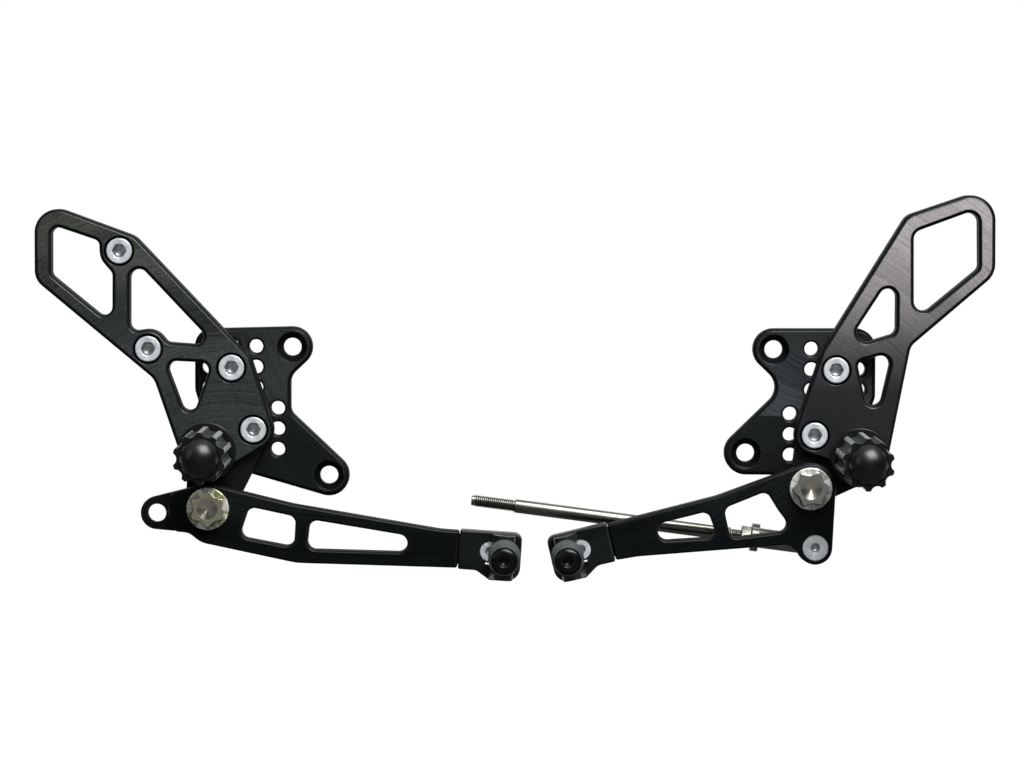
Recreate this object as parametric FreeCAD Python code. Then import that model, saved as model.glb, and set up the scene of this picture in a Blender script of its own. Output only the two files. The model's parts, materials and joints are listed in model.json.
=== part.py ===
import FreeCAD, Part
import math
import os

# A pair of motorbike rear sets: brake side and shift side, laid out side by side as in a kit.
# Millimetres. X runs across the pair, Z is up and -Y points away from the bike.
# Origin: axis of the brake side's upper frame bolt, on the face that meets the frame.

os.makedirs("parts", exist_ok=True)
V = FreeCAD.Vector
ACROSS = V(0, 1, 0)

# Depths
MOUNT_T = 10.0        # mounting plate
HANGER_T = 12.0       # hanger plate
EAR_T = 8.0           # hanger's recessed ear that carries the pivot
LEVER_T = 10.0        # lever
WASHER_T = 1.0        # thrust washer between ear and lever
EDGE = 1.5            # front chamfer of the plates
LEVER_EDGE = 1.0      # front chamfer of the levers and toe blocks
PLAY = 0.3            # side play of what turns
FIT = 0.05            # radial clearance of turned fits
SEAT = 0.02           # radial clearance of what is pressed in
BREAK = 0.5           # broken edge of turned pieces
THROUGH = 1.0         # how far a cutter runs past the faces it opens

# M8 screws; a thread and its hole are both drawn at the core
HEAD_R = 6.5
HEAD_H = 8.0
HEAD_EDGE = 0.6
HEX_AF = 6.0
TIP_EDGE = 1.0        # chamfer at a screw's tip
SINK_R = 7.5          # counterbore round a head
SINK = 0.3            # how far a head lies below the face
CORE_R = 3.5
PLAIN_R = 4.0         # plain part above the thread
CLEAR_R = 4.3
RELIEF = 0.25         # groove where a thread starts
RELIEF_L = 0.7
PLATE_SCREW_L = 12.0  # under the head
CYLINDER_SCREW_L = 18.0

# Frame holes and the grids of tapped holes in the mounting plates
FRAME_R = 4.5
FRAME_SINK_R = 7.6
FRAME_SINK = 5.0
GRID_DX = 11.8
GRID_DZ = 10.3
TAP_SINK_R = 4.25     # countersink round a tapped hole

# Foot peg
PEG_FLANGE_R = 14.7
PEG_FLANGE_T = 3.0
PEG_R = 13.0
PEG_CORE_R = 10.8
PEG_GRIP_L = 59.0
PEG_DOME_R = 10.0
PEG_DOME_H = 8.0
PEG_FLUTES = 10
PEG_FLUTE_R = 3.2
PEG_FLUTE_DEPTH = 2.0
PEG_RINGS = 4
PEG_RING_W = 2.4
PEG_BOLT_HEAD_H = 5.0
PEG_BOLT_L = 20.0     # into the peg

# Lever pivot
SHOULDER_R = 5.0
BUSH_R = 7.0
PIVOT_WASHER_R = 9.8
CAP_R = 10.6
CAP_RIM_T = 2.0
STAR_H = 4.0
STAR_TIP_R = 9.0      # to the tips of the star
STAR_TIP_ROUND = 1.0
STAR_VALLEY_R = 7.0   # to the valleys
STAR_VALLEY_ROUND = 3.2
DIMPLE_R = 5.3
DIMPLE_DEPTH = 1.8

# Toe piece, in the frame of the lever's end: x outwards from its shoulder, z up
END_HALF = 9.3        # half the lever's height at its shoulder
TONGUE_H = 15.0
TONGUE_T = 5.0
TONGUE_ROOT = 3.0     # how deep it runs into the lever
TONGUE_PAST = 4.5     # its end past the block screw's axis
TOE_REACH = 23.0      # pin's axis from the shoulder
TOE_TOP = 10.0        # block above the lever's middle line
TOE_FOOT = 9.8        # block below it, beside the lever
TOE_PIN_OUT = 6.0     # pin's axis in front of the lever's face
TOE_PIN_R = 2.0
TOE_END = 8.4         # block's end beyond the pin
FORK_R = 5.0
FORK_T = 3.4
FORK_BACK = 8.0       # fork's start before the pin
BLOCK_TOP_R = 4.0     # corners of the block's outer end
BLOCK_LOW_R = 7.0     # the lower one is round, like the rubber in front of it
BLOCK_STEP_R = 5.0    # hollow where the block narrows behind the fork
BLOCK_EDGE_R = 2.0
EYE_R = 5.0
EYE_W = 10.4
SPRING_W = 4.4        # room for the spring beside the eye
SPRING_R = 5.2        # middle of the wire
WIRE = 1.0            # square section
SPRING_TURNS = 2.5
SPRING_LEG = 9.0
TOE_SCREW_BACK = 7.2  # screw's axis before the pin
TOE_SCREW_R = 5.0
TOE_SCREW_H = 2.4
TOE_SCREW_CORE_R = 2.5
TOE_SCREW_AF = 4.0
TOE_SCREW_HEX_H = 1.5
COLLAR_R = 6.5
COLLAR_T = 1.5
NECK_L = 6.0          # pin's axis to the collar
SPIGOT_R = 4.0
RUBBER_R = 8.0
RUBBER_L = 40.0
RUBBER_GROOVE_R = 7.0
RUBBER_GROOVE_W = 2.0
RUBBER_RIDGES = 3
RIDGE_EDGE = 0.7      # slope at the ridges' edges
KNURL_R = 6.9
KNURL_L = 5.0
NOSE_R = 7.4
NOSE_L = 8.0
END_HEAD_R = 6.2
END_HEAD_H = 4.5
END_SINK = 3.0        # how deep the end screw sits in the rubber
END_CORE_R = 2.5
END_SCREW_L = 12.0
END_SCREW_AF = 5.0
END_SCREW_HEX_H = 2.5
END_SCREW_ROUND = 1.6

# Shift rod, measured from the ball's middle
ROD_R = 3.4
ROD_THREAD_R = 2.95
ROD_REACH = 173.0
ROD_THREAD_L = 22.0
ROD_RISE = 7.5        # degrees above level, towards the free end
NECK_THREAD_L = 5.5
NUT_AF = 10.0
NUT_T = 5.0
EYE_OUT_R = 9.0
EYE_T = 7.0
BALL_R = 6.35
BALL_W = 9.0
SHANK_R = 5.0
SHANK_END = 27.7
SOCKET_R = 7.0
SOCKET_L = 4.0
SOCKET_DEPTH = 15.0
SPACER_T = 4.0
SPACER_R = 4.4
ROD_SCREW_R = 2.95
ROD_SCREW_HEAD_R = 6.5
ROD_SCREW_AF = 4.0
ROD_SCREW_HEX_H = 2.2
ROD_TIP = 0.8         # chamfer at the free end

# Where the layers lie
HANGER_BACK = -MOUNT_T
HANGER_FRONT = HANGER_BACK - HANGER_T
EAR_FRONT = HANGER_BACK - EAR_T
LEVER_BACK = EAR_FRONT - WASHER_T - PLAY
LEVER_FRONT = LEVER_BACK - LEVER_T
CAP_BACK = LEVER_FRONT - PLAY
TAB_FRONT = LEVER_BACK - TONGUE_T
END_ROUND = LEVER_EDGE + 0.2   # lever's shoulder corner, just larger than its chamfer
PIN_Y = LEVER_FRONT - TOE_PIN_OUT
COLLAR_BACK = PIN_Y - NECK_L
RUBBER_BACK = COLLAR_BACK - COLLAR_T
RUBBER_FRONT = RUBBER_BACK - RUBBER_L
SLOT_TOP = EYE_W / 2 + PLAY
SLOT_LOW = -SLOT_TOP - SPRING_W
TOE_SCREW_X = TOE_REACH - TOE_SCREW_BACK
TONGUE_L = TOE_SCREW_X + TONGUE_PAST
ROD_Y = LEVER_BACK + SPACER_T + PLAY + BALL_W / 2

# Brake side, in the plane of the plates
BRAKE_BOLT = (0.0, 0.0)
BRAKE_HEEL = (-116.2, 57.5)   # the hanger's far upper corner
BRAKE_LOW_BOLT = (18.3, -64.4)
BRAKE_SCREWS = [(-29.9, -9.9), (-19.0, -40.9)]
BRAKE_PEG = (-42.3, -51.9)
BRAKE_PIVOT = (-41.3, -79.8)
BRAKE_TAB_HOLE = (-66.9, -82.2)
BRAKE_TAB_R = 8.2
BRAKE_TAB_STEP_R = 19.5   # step from lever to tab, round the pivot
CYLINDER_SCREWS = [(-85.7, 48.4), (-71.5, -0.5)]
CYLINDER_PAD_R = 9.8
BRAKE_END = (83.4, -100.2)
BRAKE_TILT = 3.9
BRAKE_STAR_TURN = 90.0

# Shift side, from its own upper frame bolt
PAIR_GAP = 14.615     # left between the ends of the two toe pieces
PAIR_DROP = 1.3       # how much lower this side lies
SHIFT_BOLT = (0.0, 0.0)
SHIFT_HEEL = (97.2, 64.8)
SHIFT_LOW_BOLT = (-14.0, -52.0)
SHIFT_SCREWS = [(30.6, -9.9), (19.9, -42.5)]
SHIFT_PEG = (42.4, -53.5)
SHIFT_PIVOT = (17.5, -68.5)
ROD_EYE = (19.9, -98.1)
SHIFT_END = (-81.5, -95.3)
SHIFT_TILT = 13.3
SHIFT_STAR_TURN = 64.0
BRAKE_TOE_END = BRAKE_END[0] + (TOE_REACH + TOE_END) * math.cos(math.radians(BRAKE_TILT))
SHIFT_TOE_END = SHIFT_END[0] - (TOE_REACH + TOE_END) * math.cos(math.radians(SHIFT_TILT))
SHIFT_AT = V(BRAKE_TOE_END + PAIR_GAP - SHIFT_TOE_END, 0, -PAIR_DROP)


def round_at(point, radius, dx=0.0, dz=0.0):
    """A corner circle on a named point, or at a distance from it."""
    return (point[0] + dx, point[1] + dz, radius)


def tangent(a, b):
    """Ends of the line from circle a to circle b; the sign of a radius says on which side it lies."""
    (ax, az, ra), (bx, bz, rb) = a, b
    length = math.hypot(bx - ax, bz - az)
    ux, uz = (bx - ax) / length, (bz - az) / length
    lean = (rb - ra) / length
    along = math.sqrt(1 - lean * lean)
    nx, nz = -uz * along - ux * lean, ux * along - uz * lean
    return V(ax + nx * ra, 0, az + nz * ra), V(bx + nx * rb, 0, bz + nz * rb)


def outline(circles):
    """A face in the plates' plane, bounded by lines tangent to circles.

    A negative radius is a hollow corner.
    """
    turn = sum(circles[i - 1][0] * c[1] - c[0] * circles[i - 1][1] for i, c in enumerate(circles))
    side = -1 if turn > 0 else 1
    signed = [(x, z, r * side) for x, z, r in circles]
    lines = [tangent(c, signed[(i + 1) % len(signed)]) for i, c in enumerate(signed)]
    edges = []
    for i, (x, z, r) in enumerate(signed):
        start, end = lines[i - 1][1], lines[i][0]
        first = math.atan2(start.z - z, start.x - x)
        sweep = (math.atan2(end.z - z, end.x - x) - first) % (2 * math.pi)
        if r > 0:
            sweep -= 2 * math.pi
        middle = first + sweep / 2
        top = V(x + abs(r) * math.cos(middle), 0, z + abs(r) * math.sin(middle))
        edges.append(Part.Arc(start, top, end).toShape())
        edges.append(Part.LineSegment(end, lines[i][1]).toShape())
    return Part.Face(Part.Wire(edges))


def slab(face, back, front):
    """A face of the plates' plane, made solid between two depths."""
    solid = face.extrude(V(0, front - back, 0))
    solid.translate(V(0, back, 0))
    return solid


def rod(x, z, radius, back, front):
    return Part.makeCylinder(radius, abs(back - front), V(x, max(back, front), z), V(0, -1, 0))


def hexagon(x, z, across, back, front):
    corner = across / math.sqrt(3)
    points = [V(x + corner * math.cos(math.radians(60 * i)), 0,
                z + corner * math.sin(math.radians(60 * i))) for i in range(7)]
    return slab(Part.Face(Part.makePolygon(points)), back, front)


def spun(wire, x, z):
    """A closed wire of (radius, depth), spun into a solid round an axis along Y."""
    solid = Part.Face(wire).revolve(V(0, 0, 0), ACROSS, 360)
    if solid.Volume < 0:
        solid.reverse()
    solid.translate(V(x, 0, z))
    return solid


def turned(profile, x=0.0, z=0.0):
    """A turned piece from (radius, depth) points."""
    points = [V(r, y, 0) for r, y in profile]
    return spun(Part.makePolygon(points + points[:1]), x, z)


def bevel_front(solid, front, size):
    """Chamfers every edge that lies in the front plane."""
    edges = [e for e in solid.Edges if all(abs(v.Y - front) < 1e-6 for v in e.Vertexes)
             and abs(e.BoundBox.YLength) < 1e-5]
    return solid.makeChamfer(size, edges)


def grid(centre):
    """The nine places of a 3 x 3 grid."""
    return [(centre[0] + i * GRID_DX, centre[1] + j * GRID_DZ) for i in (-1, 0, 1) for j in (-1, 0, 1)]


def save(name, shape, at):
    """One solid, or a group of like solids, to its own file."""
    if len(shape.Solids) == 1:
        shape = shape.removeSplitter()
    shape.translate(at)
    if not shape.isValid():
        raise ValueError(name + " is not a valid solid")
    shape.exportStep("parts/" + name + ".step")


def mounting_plate(circles, bolts, screws):
    """Flat plate with counterbored frame holes and two grids of tapped holes."""
    plate = bevel_front(slab(outline(circles), 0, HANGER_BACK), HANGER_BACK, EDGE)
    holes = []
    for centre in screws:
        for x, z in grid(centre):
            holes.append(rod(x, z, CORE_R, THROUGH, HANGER_BACK - THROUGH))
            holes.append(turned([(0, HANGER_BACK + TAP_SINK_R), (TAP_SINK_R + THROUGH, HANGER_BACK - THROUGH),
                                 (0, HANGER_BACK - THROUGH)], x, z))
    for x, z in bolts:
        holes.append(rod(x, z, FRAME_R, THROUGH, HANGER_BACK - THROUGH))
        holes.append(rod(x, z, FRAME_SINK_R, HANGER_BACK + FRAME_SINK, HANGER_BACK - THROUGH))
    return plate.cut(holes)


def hanger_plate(circles, windows, ear, pivot, peg, screws):
    """Hanger with its windows, recessed ear, flush screw seats and the peg's bolt hole from behind."""
    plate = slab(outline(circles), HANGER_BACK, HANGER_FRONT)
    plate = plate.cut([slab(outline(w), THROUGH, HANGER_FRONT - THROUGH) for w in windows])
    plate = bevel_front(plate, HANGER_FRONT, EDGE)
    plate = plate.fuse(slab(outline(ear), HANGER_BACK, EAR_FRONT))
    holes = [rod(pivot[0], pivot[1], CORE_R + SEAT, 0, EAR_FRONT - THROUGH)]
    for x, z in screws:
        holes.append(rod(x, z, CLEAR_R, 0, HANGER_FRONT - THROUGH))
        holes.append(rod(x, z, SINK_R, HANGER_FRONT + HEAD_H + SINK, HANGER_FRONT - THROUGH))
    holes.append(rod(peg[0], peg[1], CLEAR_R, 0, HANGER_FRONT - THROUGH))
    holes.append(rod(peg[0], peg[1], SINK_R, 0, HANGER_BACK - PEG_BOLT_HEAD_H - SINK))
    return plate.cut(holes)


def socket_screw(x, z, length):
    """Socket cap screw, its head just below the hanger's face, pointing to the bike."""
    top = HANGER_FRONT + SINK
    under = top + HEAD_H
    tip = under + length
    core = CORE_R - SEAT
    body = turned([(0, top), (HEAD_R - HEAD_EDGE, top), (HEAD_R, top + HEAD_EDGE), (HEAD_R, under),
                   (PLAIN_R, under), (PLAIN_R, HANGER_BACK), (core - RELIEF, HANGER_BACK),
                   (core - RELIEF, HANGER_BACK + RELIEF_L), (core, HANGER_BACK + RELIEF_L),
                   (core, tip - TIP_EDGE), (core - TIP_EDGE, tip), (0, tip)], x, z)
    return body.cut(hexagon(x, z, HEX_AF, top + HEAD_H / 2, top - THROUGH))


def foot_peg(x, z):
    """Turned peg with flutes cut along it, rings cut round it and a smooth dome."""
    base = HANGER_FRONT
    neck = base - PEG_FLANGE_T
    end = neck - PEG_GRIP_L
    pitch = PEG_GRIP_L / (PEG_RINGS + 1)
    profile = [(0, base), (PEG_FLANGE_R - BREAK, base), (PEG_FLANGE_R, base - BREAK),
               (PEG_FLANGE_R, neck + BREAK), (PEG_FLANGE_R - BREAK, neck), (PEG_CORE_R, neck)]
    for i in range(PEG_RINGS + 1):
        low = neck - i * pitch - PEG_RING_W
        high = neck - (i + 1) * pitch
        profile += [(PEG_CORE_R, low), (PEG_R, low), (PEG_R, high), (PEG_CORE_R, high)]
    profile[-2:] = [(PEG_R, end), (PEG_DOME_R, end)]
    points = [V(r, y, 0) for r, y in profile]
    ball = (PEG_DOME_R ** 2 + PEG_DOME_H ** 2) / (2 * PEG_DOME_H)
    centre = end - PEG_DOME_H + ball
    half = math.acos((ball - PEG_DOME_H) / ball) / 2
    dome = Part.Arc(points[-1], V(ball * math.sin(half), centre - ball * math.cos(half), 0),
                    V(0, end - PEG_DOME_H, 0)).toShape()
    sides = [Part.LineSegment(a, b).toShape() for a, b in zip(points, points[1:])]
    axis = Part.LineSegment(V(0, end - PEG_DOME_H, 0), points[0]).toShape()
    body = spun(Part.Wire(sides + [dome, axis]), 0, 0)
    reach = PEG_R - PEG_FLUTE_DEPTH + PEG_FLUTE_R
    flutes = []
    for i in range(PEG_FLUTES):
        angle = 2 * math.pi * i / PEG_FLUTES
        flutes.append(rod(reach * math.cos(angle), reach * math.sin(angle), PEG_FLUTE_R,
                          neck - PEG_RING_W / 2, end - THROUGH))
    body = body.cut(flutes + [rod(0, 0, CORE_R + SEAT, base + THROUGH, base - PEG_BOLT_L)])
    body.translate(V(x, 0, z))
    return body


def peg_bolt(x, z):
    """Bolt from behind, its head sunk in the hanger's back, threaded into the peg."""
    back = HANGER_BACK - SINK
    tip = HANGER_FRONT - PEG_BOLT_L + 2 * TIP_EDGE
    body = turned([(0, back), (HEAD_R, back), (HEAD_R, back - PEG_BOLT_HEAD_H),
                   (CORE_R, back - PEG_BOLT_HEAD_H), (CORE_R, tip + TIP_EDGE), (CORE_R - TIP_EDGE, tip),
                   (0, tip)], x, z)
    return body.cut(hexagon(x, z, HEX_AF, back - PEG_BOLT_HEAD_H / 2, back + THROUGH))


def pivot_bolt(x, z, turn):
    """Shoulder bolt with a flanged head that carries a six-pointed star."""
    rim = CAP_BACK - CAP_RIM_T
    top = rim - STAR_H
    body = turned([(0, EAR_FRONT + EAR_T), (CORE_R, EAR_FRONT + EAR_T), (CORE_R, EAR_FRONT),
                   (SHOULDER_R, EAR_FRONT), (SHOULDER_R, CAP_BACK), (CAP_R, CAP_BACK),
                   (CAP_R, rim + BREAK), (CAP_R - BREAK, rim), (0, rim)])
    tips = STAR_TIP_R - STAR_TIP_ROUND
    valleys = STAR_VALLEY_R + STAR_VALLEY_ROUND
    circles = []
    for i in range(6):
        tip, valley = math.radians(60 * i + turn), math.radians(60 * i + 30 + turn)
        circles.append((tips * math.cos(tip), tips * math.sin(tip), STAR_TIP_ROUND))
        circles.append((valleys * math.cos(valley), valleys * math.sin(valley), -STAR_VALLEY_ROUND))
    star = slab(outline(circles), rim, top)
    dimple = turned([(0, top), (DIMPLE_R, top), (0, top + DIMPLE_DEPTH)])
    body = body.fuse(star).cut(dimple)
    body.translate(V(x, 0, z))
    return body


def ring(x, z, inner, outer, back, front):
    return rod(x, z, outer, back, front).cut(rod(x, z, inner, back + THROUGH, front - THROUGH))


def brake_place(shape):
    """From the frame of a lever's end to the brake lever's end."""
    shape.rotate(V(0, 0, 0), ACROSS, BRAKE_TILT)
    shape.translate(V(BRAKE_END[0], 0, BRAKE_END[1]))
    return shape


def shift_place(shape):
    """The same for the shift lever, whose end points the other way."""
    shape = shape.mirror(V(0, 0, 0), V(1, 0, 0))
    shape.rotate(V(0, 0, 0), ACROSS, -SHIFT_TILT)
    shape.translate(V(SHIFT_END[0], 0, SHIFT_END[1]))
    return shape


def end_corner(place, height):
    """Corner circle of a lever's shoulder, at a height over its middle line."""
    point = place(Part.Vertex(V(-END_ROUND, 0, height))).Point
    return (point.x, point.z, END_ROUND)


def side_slab(circles, low, high):
    """A profile seen from above, as (x, distance in front of Y = 0), made solid between two heights."""
    solid = outline(circles).extrude(V(0, high - low, 0))
    solid.rotate(V(0, 0, 0), V(1, 0, 0), 90)
    solid.translate(V(0, 0, low))
    return solid


def tongue():
    """The lever's thin end under the toe block, with the block screw's tapped hole."""
    body = Part.makeBox(TONGUE_L + TONGUE_ROOT, TONGUE_T, TONGUE_H, V(-TONGUE_ROOT, TAB_FRONT, -TONGUE_H / 2))
    return body.cut(rod(TOE_SCREW_X, 0, TOE_SCREW_CORE_R + SEAT, 0, LEVER_FRONT))


def toe_pin_bar(radius, low, high):
    """A bar along the toe hinge's axis, between two heights."""
    return Part.makeCylinder(radius, high - low, V(TOE_REACH, PIN_Y, low))


def toe_block():
    """Block screwed over the lever's tongue, with a fork in front that holds the hinge pin."""
    low = SLOT_LOW - FORK_T - LEVER_EDGE
    right = TOE_REACH + TOE_END
    left = PLAY + END_ROUND
    start = TOE_REACH - FORK_BACK
    plan = [(left, TOE_TOP - END_ROUND, END_ROUND), (right - BLOCK_TOP_R, TOE_TOP - BLOCK_TOP_R, BLOCK_TOP_R),
            (right - BLOCK_LOW_R, low + BLOCK_LOW_R, BLOCK_LOW_R),
            (start + BLOCK_EDGE_R, low + BLOCK_EDGE_R, BLOCK_EDGE_R),
            (start - BLOCK_STEP_R - BLOCK_EDGE_R, -TOE_FOOT - BLOCK_STEP_R, -BLOCK_STEP_R),
            (left, END_ROUND - TOE_FOOT, END_ROUND)]
    body = bevel_front(slab(outline(plan), LEVER_BACK, LEVER_FRONT), LEVER_FRONT, LEVER_EDGE)
    fork = [(TOE_REACH, -PIN_Y, FORK_R),
            (TOE_REACH + FORK_R - BLOCK_EDGE_R, BLOCK_EDGE_R - TAB_FRONT, BLOCK_EDGE_R),
            (start + BREAK + FORK_T / 4, BREAK - LEVER_FRONT, BREAK)]
    for low, high in ((SLOT_LOW - FORK_T, SLOT_LOW), (SLOT_TOP, SLOT_TOP + FORK_T)):
        body = body.fuse(side_slab(fork, low, high))
    pin_hole = toe_pin_bar(TOE_PIN_R + SEAT, SLOT_LOW - FORK_T - THROUGH, SLOT_TOP + FORK_T + THROUGH)
    lap = Part.makeBox(TONGUE_L + PLAY + THROUGH, TONGUE_T + THROUGH, TONGUE_H + 2 * PLAY,
                       V(-THROUGH, TAB_FRONT, -TONGUE_H / 2 - PLAY))
    screw_hole = rod(TOE_SCREW_X, 0, TOE_SCREW_CORE_R + FIT, LEVER_BACK + THROUGH, LEVER_FRONT - THROUGH)
    screw_seat = rod(TOE_SCREW_X, 0, TOE_SCREW_R + FIT, LEVER_FRONT + TOE_SCREW_H + SINK,
                     PIN_Y - FORK_R)
    return body.cut([pin_hole, lap, screw_hole, screw_seat])


def toe_block_screw():
    """Flat-headed screw, flush in the block."""
    top = LEVER_FRONT + SINK
    under = top + TOE_SCREW_H
    tip = LEVER_BACK - BREAK
    body = turned([(0, top), (TOE_SCREW_R - BREAK, top), (TOE_SCREW_R, top + BREAK), (TOE_SCREW_R, under),
                   (TOE_SCREW_CORE_R, under), (TOE_SCREW_CORE_R, tip), (0, tip)], TOE_SCREW_X, 0)
    return body.cut(hexagon(TOE_SCREW_X, 0, TOE_SCREW_AF, top + TOE_SCREW_HEX_H, top - THROUGH))


def toe_pin():
    body = toe_pin_bar(TOE_PIN_R, SLOT_LOW - FORK_T + BREAK, SLOT_TOP + FORK_T - BREAK)
    return body.makeChamfer(BREAK / 2, [e for e in body.Edges if e.Closed])


def toe_carrier():
    """Eye on the hinge pin, collar and the spigot inside the rubber."""
    tip = RUBBER_FRONT + END_SINK + SINK
    neck = EYE_R - BREAK
    body = turned([(0, PIN_Y), (neck, PIN_Y), (neck, COLLAR_BACK), (COLLAR_R, COLLAR_BACK),
                   (COLLAR_R, RUBBER_BACK), (SPIGOT_R, RUBBER_BACK), (SPIGOT_R, tip), (0, tip)],
                  TOE_REACH, 0)
    body = body.fuse(Part.makeCylinder(EYE_R, EYE_W, V(TOE_REACH, PIN_Y, -EYE_W / 2)))
    pin_hole = toe_pin_bar(TOE_PIN_R + FIT, -EYE_W, EYE_W)
    screw_hole = rod(TOE_REACH, 0, END_CORE_R + SEAT, tip + END_SCREW_L, tip - THROUGH)
    return body.cut([pin_hole, screw_hole])


def toe_spring():
    """Torsion spring round the pin, beside the eye, with a leg back along the block's face."""
    rise = SPRING_W - PLAY - WIRE
    half = WIRE / 2
    helix = Part.makeHelix(rise / SPRING_TURNS, rise, SPRING_R)
    section = Part.makePolygon([V(SPRING_R + a * half, 0, b * half)
                                for a, b in ((-1, -1), (1, -1), (1, 1), (-1, 1), (-1, -1))])
    coil = Part.Wire(helix.Edges).makePipeShell([section], True, True)
    coil.rotate(V(0, 0, 0), V(0, 0, 1), 90 - 360 * SPRING_TURNS)
    leg = Part.makeBox(SPRING_LEG, WIRE, WIRE, V(-SPRING_LEG, SPRING_R - half, rise - half))
    body = coil.fuse(leg)
    body.translate(V(TOE_REACH, PIN_Y, SLOT_LOW + PLAY / 2 + half))
    return body


def toe_rubber():
    """Turned rubber: a knurled collar, ridges and a nose with a recess for the end screw."""
    depth = RUBBER_BACK - KNURL_L
    pitch = (RUBBER_L - KNURL_L - NOSE_L) / RUBBER_RIDGES
    bore, recess = SPIGOT_R + SEAT, END_HEAD_R + SINK
    profile = [(bore, RUBBER_BACK), (KNURL_R - BREAK, RUBBER_BACK),
               (KNURL_R, RUBBER_BACK - BREAK), (KNURL_R, depth)]
    for _ in range(RUBBER_RIDGES):
        top = depth - RUBBER_GROOVE_W
        depth -= pitch
        profile += [(RUBBER_GROOVE_R, top + RIDGE_EDGE), (RUBBER_R, top), (RUBBER_R, depth + RIDGE_EDGE),
                    (RUBBER_GROOVE_R, depth)]
    profile += [(RUBBER_GROOVE_R, depth - RUBBER_GROOVE_W / 2), (NOSE_R, depth - RUBBER_GROOVE_W),
                (NOSE_R, RUBBER_FRONT + RIDGE_EDGE), (NOSE_R - RIDGE_EDGE, RUBBER_FRONT),
                (recess, RUBBER_FRONT), (recess, RUBBER_FRONT + END_SINK), (bore, RUBBER_FRONT + END_SINK)]
    return turned(profile, TOE_REACH, 0)


def toe_end_screw():
    """Black screw with a round head that closes the rubber's nose."""
    under = RUBBER_FRONT + END_SINK
    top = under - END_HEAD_H
    tip = under + END_SCREW_L - TIP_EDGE
    body = turned([(0, top), (END_HEAD_R - END_SCREW_ROUND, top), (END_HEAD_R - BREAK, top + BREAK),
                   (END_HEAD_R, top + END_SCREW_ROUND), (END_HEAD_R, under), (END_CORE_R, under),
                   (END_CORE_R, tip), (0, tip)], TOE_REACH, 0)
    return body.cut(hexagon(TOE_REACH, 0, END_SCREW_AF, top + END_SCREW_HEX_H, top - THROUGH))


def save_toe(side, place, at):
    """The toe piece of one lever."""
    pieces = {"toe_block": toe_block, "toe_block_screw": toe_block_screw, "toe_hinge_pin": toe_pin,
              "toe_carrier": toe_carrier, "toe_spring": toe_spring, "toe_rubber": toe_rubber,
              "toe_end_screw": toe_end_screw}
    for name, make in pieces.items():
        save(side + name, place(make()), at)


def lever_plate(circles, windows, pivot):
    plate = slab(outline(circles), LEVER_BACK, LEVER_FRONT)
    plate = plate.cut([slab(outline(w), LEVER_BACK + THROUGH, LEVER_FRONT - THROUGH) for w in windows])
    plate = bevel_front(plate, LEVER_FRONT, LEVER_EDGE)
    return plate.cut(rod(pivot[0], pivot[1], BUSH_R + SEAT, LEVER_BACK + THROUGH, LEVER_FRONT - THROUGH))


def brake_lever():
    """Lever with two windows and a thin rear tab for the cylinder's push rod."""
    pivot = BRAKE_PIVOT
    half = END_HALF - END_ROUND
    body = lever_plate([
        round_at(BRAKE_TAB_HOLE, BRAKE_TAB_R), round_at(pivot, -7.5, -12.5, -19.4),
        round_at(pivot, 12.5, 2.0, -5.4), round_at(pivot, 30.0, 47.7, 2.7),
        end_corner(brake_place, -half), end_corner(brake_place, half),
        round_at(BRAKE_END, -55.0, -2.2, 64.6), round_at(pivot, -40.0, 50.7, 41.3), round_at(pivot, 12.2)],
        [[round_at(pivot, 4.0, 23.2, -3.8), round_at(pivot, 4.0, 20.8, -11.0),
          round_at(pivot, 4.0, 39.1, -14.5), round_at(pivot, 4.0, 39.5, -7.3)],
         [round_at(BRAKE_END, 4.0, -70.3, 10.3), round_at(BRAKE_END, 4.2, -70.8, 4.1),
          round_at(BRAKE_END, 4.4, -29.8, 3.1)]], pivot)
    x, z = pivot
    reach = math.dist(pivot, BRAKE_TAB_HOLE) + 2 * BRAKE_TAB_R
    step = Part.makeBox(reach, LEVER_T, 2 * reach, V(x - reach, TAB_FRONT - LEVER_T, z - reach))
    step = step.cut(rod(x, z, BRAKE_TAB_STEP_R, LEVER_BACK, TAB_FRONT - LEVER_T))
    body = body.cut([step, rod(*BRAKE_TAB_HOLE, FRAME_R, LEVER_BACK + THROUGH, LEVER_FRONT)])
    return body.fuse(brake_place(tongue()))


def shift_lever():
    """Lever with two windows and a lobe that takes the rod end's screw."""
    pivot = SHIFT_PIVOT
    half = END_HALF - END_ROUND
    x, z = ROD_EYE
    body = lever_plate([
        round_at(pivot, 12.5), round_at(pivot, -50.0, -61.8, 43.9), end_corner(shift_place, half),
        end_corner(shift_place, -half), round_at(SHIFT_END, -40.0, 17.9, -46.9),
        round_at(ROD_EYE, -8.0, -15.8, -6.7), round_at(ROD_EYE, 8.5)],
        [[round_at(pivot, 4.0, -38.5, -12.4), round_at(pivot, 4.0, -36.7, -20.4),
          round_at(pivot, 4.0, -16.0, -17.8), round_at(pivot, -19.5), round_at(pivot, 4.0, -23.6, -6.4)],
         [round_at(SHIFT_END, 4.0, 45.4, 10.6), round_at(SHIFT_END, 4.6, 27.6, 5.5),
          round_at(SHIFT_END, 4.0, 47.1, 6.1)]], pivot)
    head = ROD_SCREW_HEAD_R + FIT
    sink = turned([(0, LEVER_FRONT - THROUGH), (head, LEVER_FRONT - THROUGH), (head, LEVER_FRONT + SINK),
                   (0, LEVER_FRONT + SINK + head)], x, z)
    body = body.cut([rod(x, z, ROD_SCREW_R + FIT, LEVER_BACK + THROUGH, LEVER_FRONT - THROUGH), sink])
    return body.fuse(shift_place(tongue()))


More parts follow.
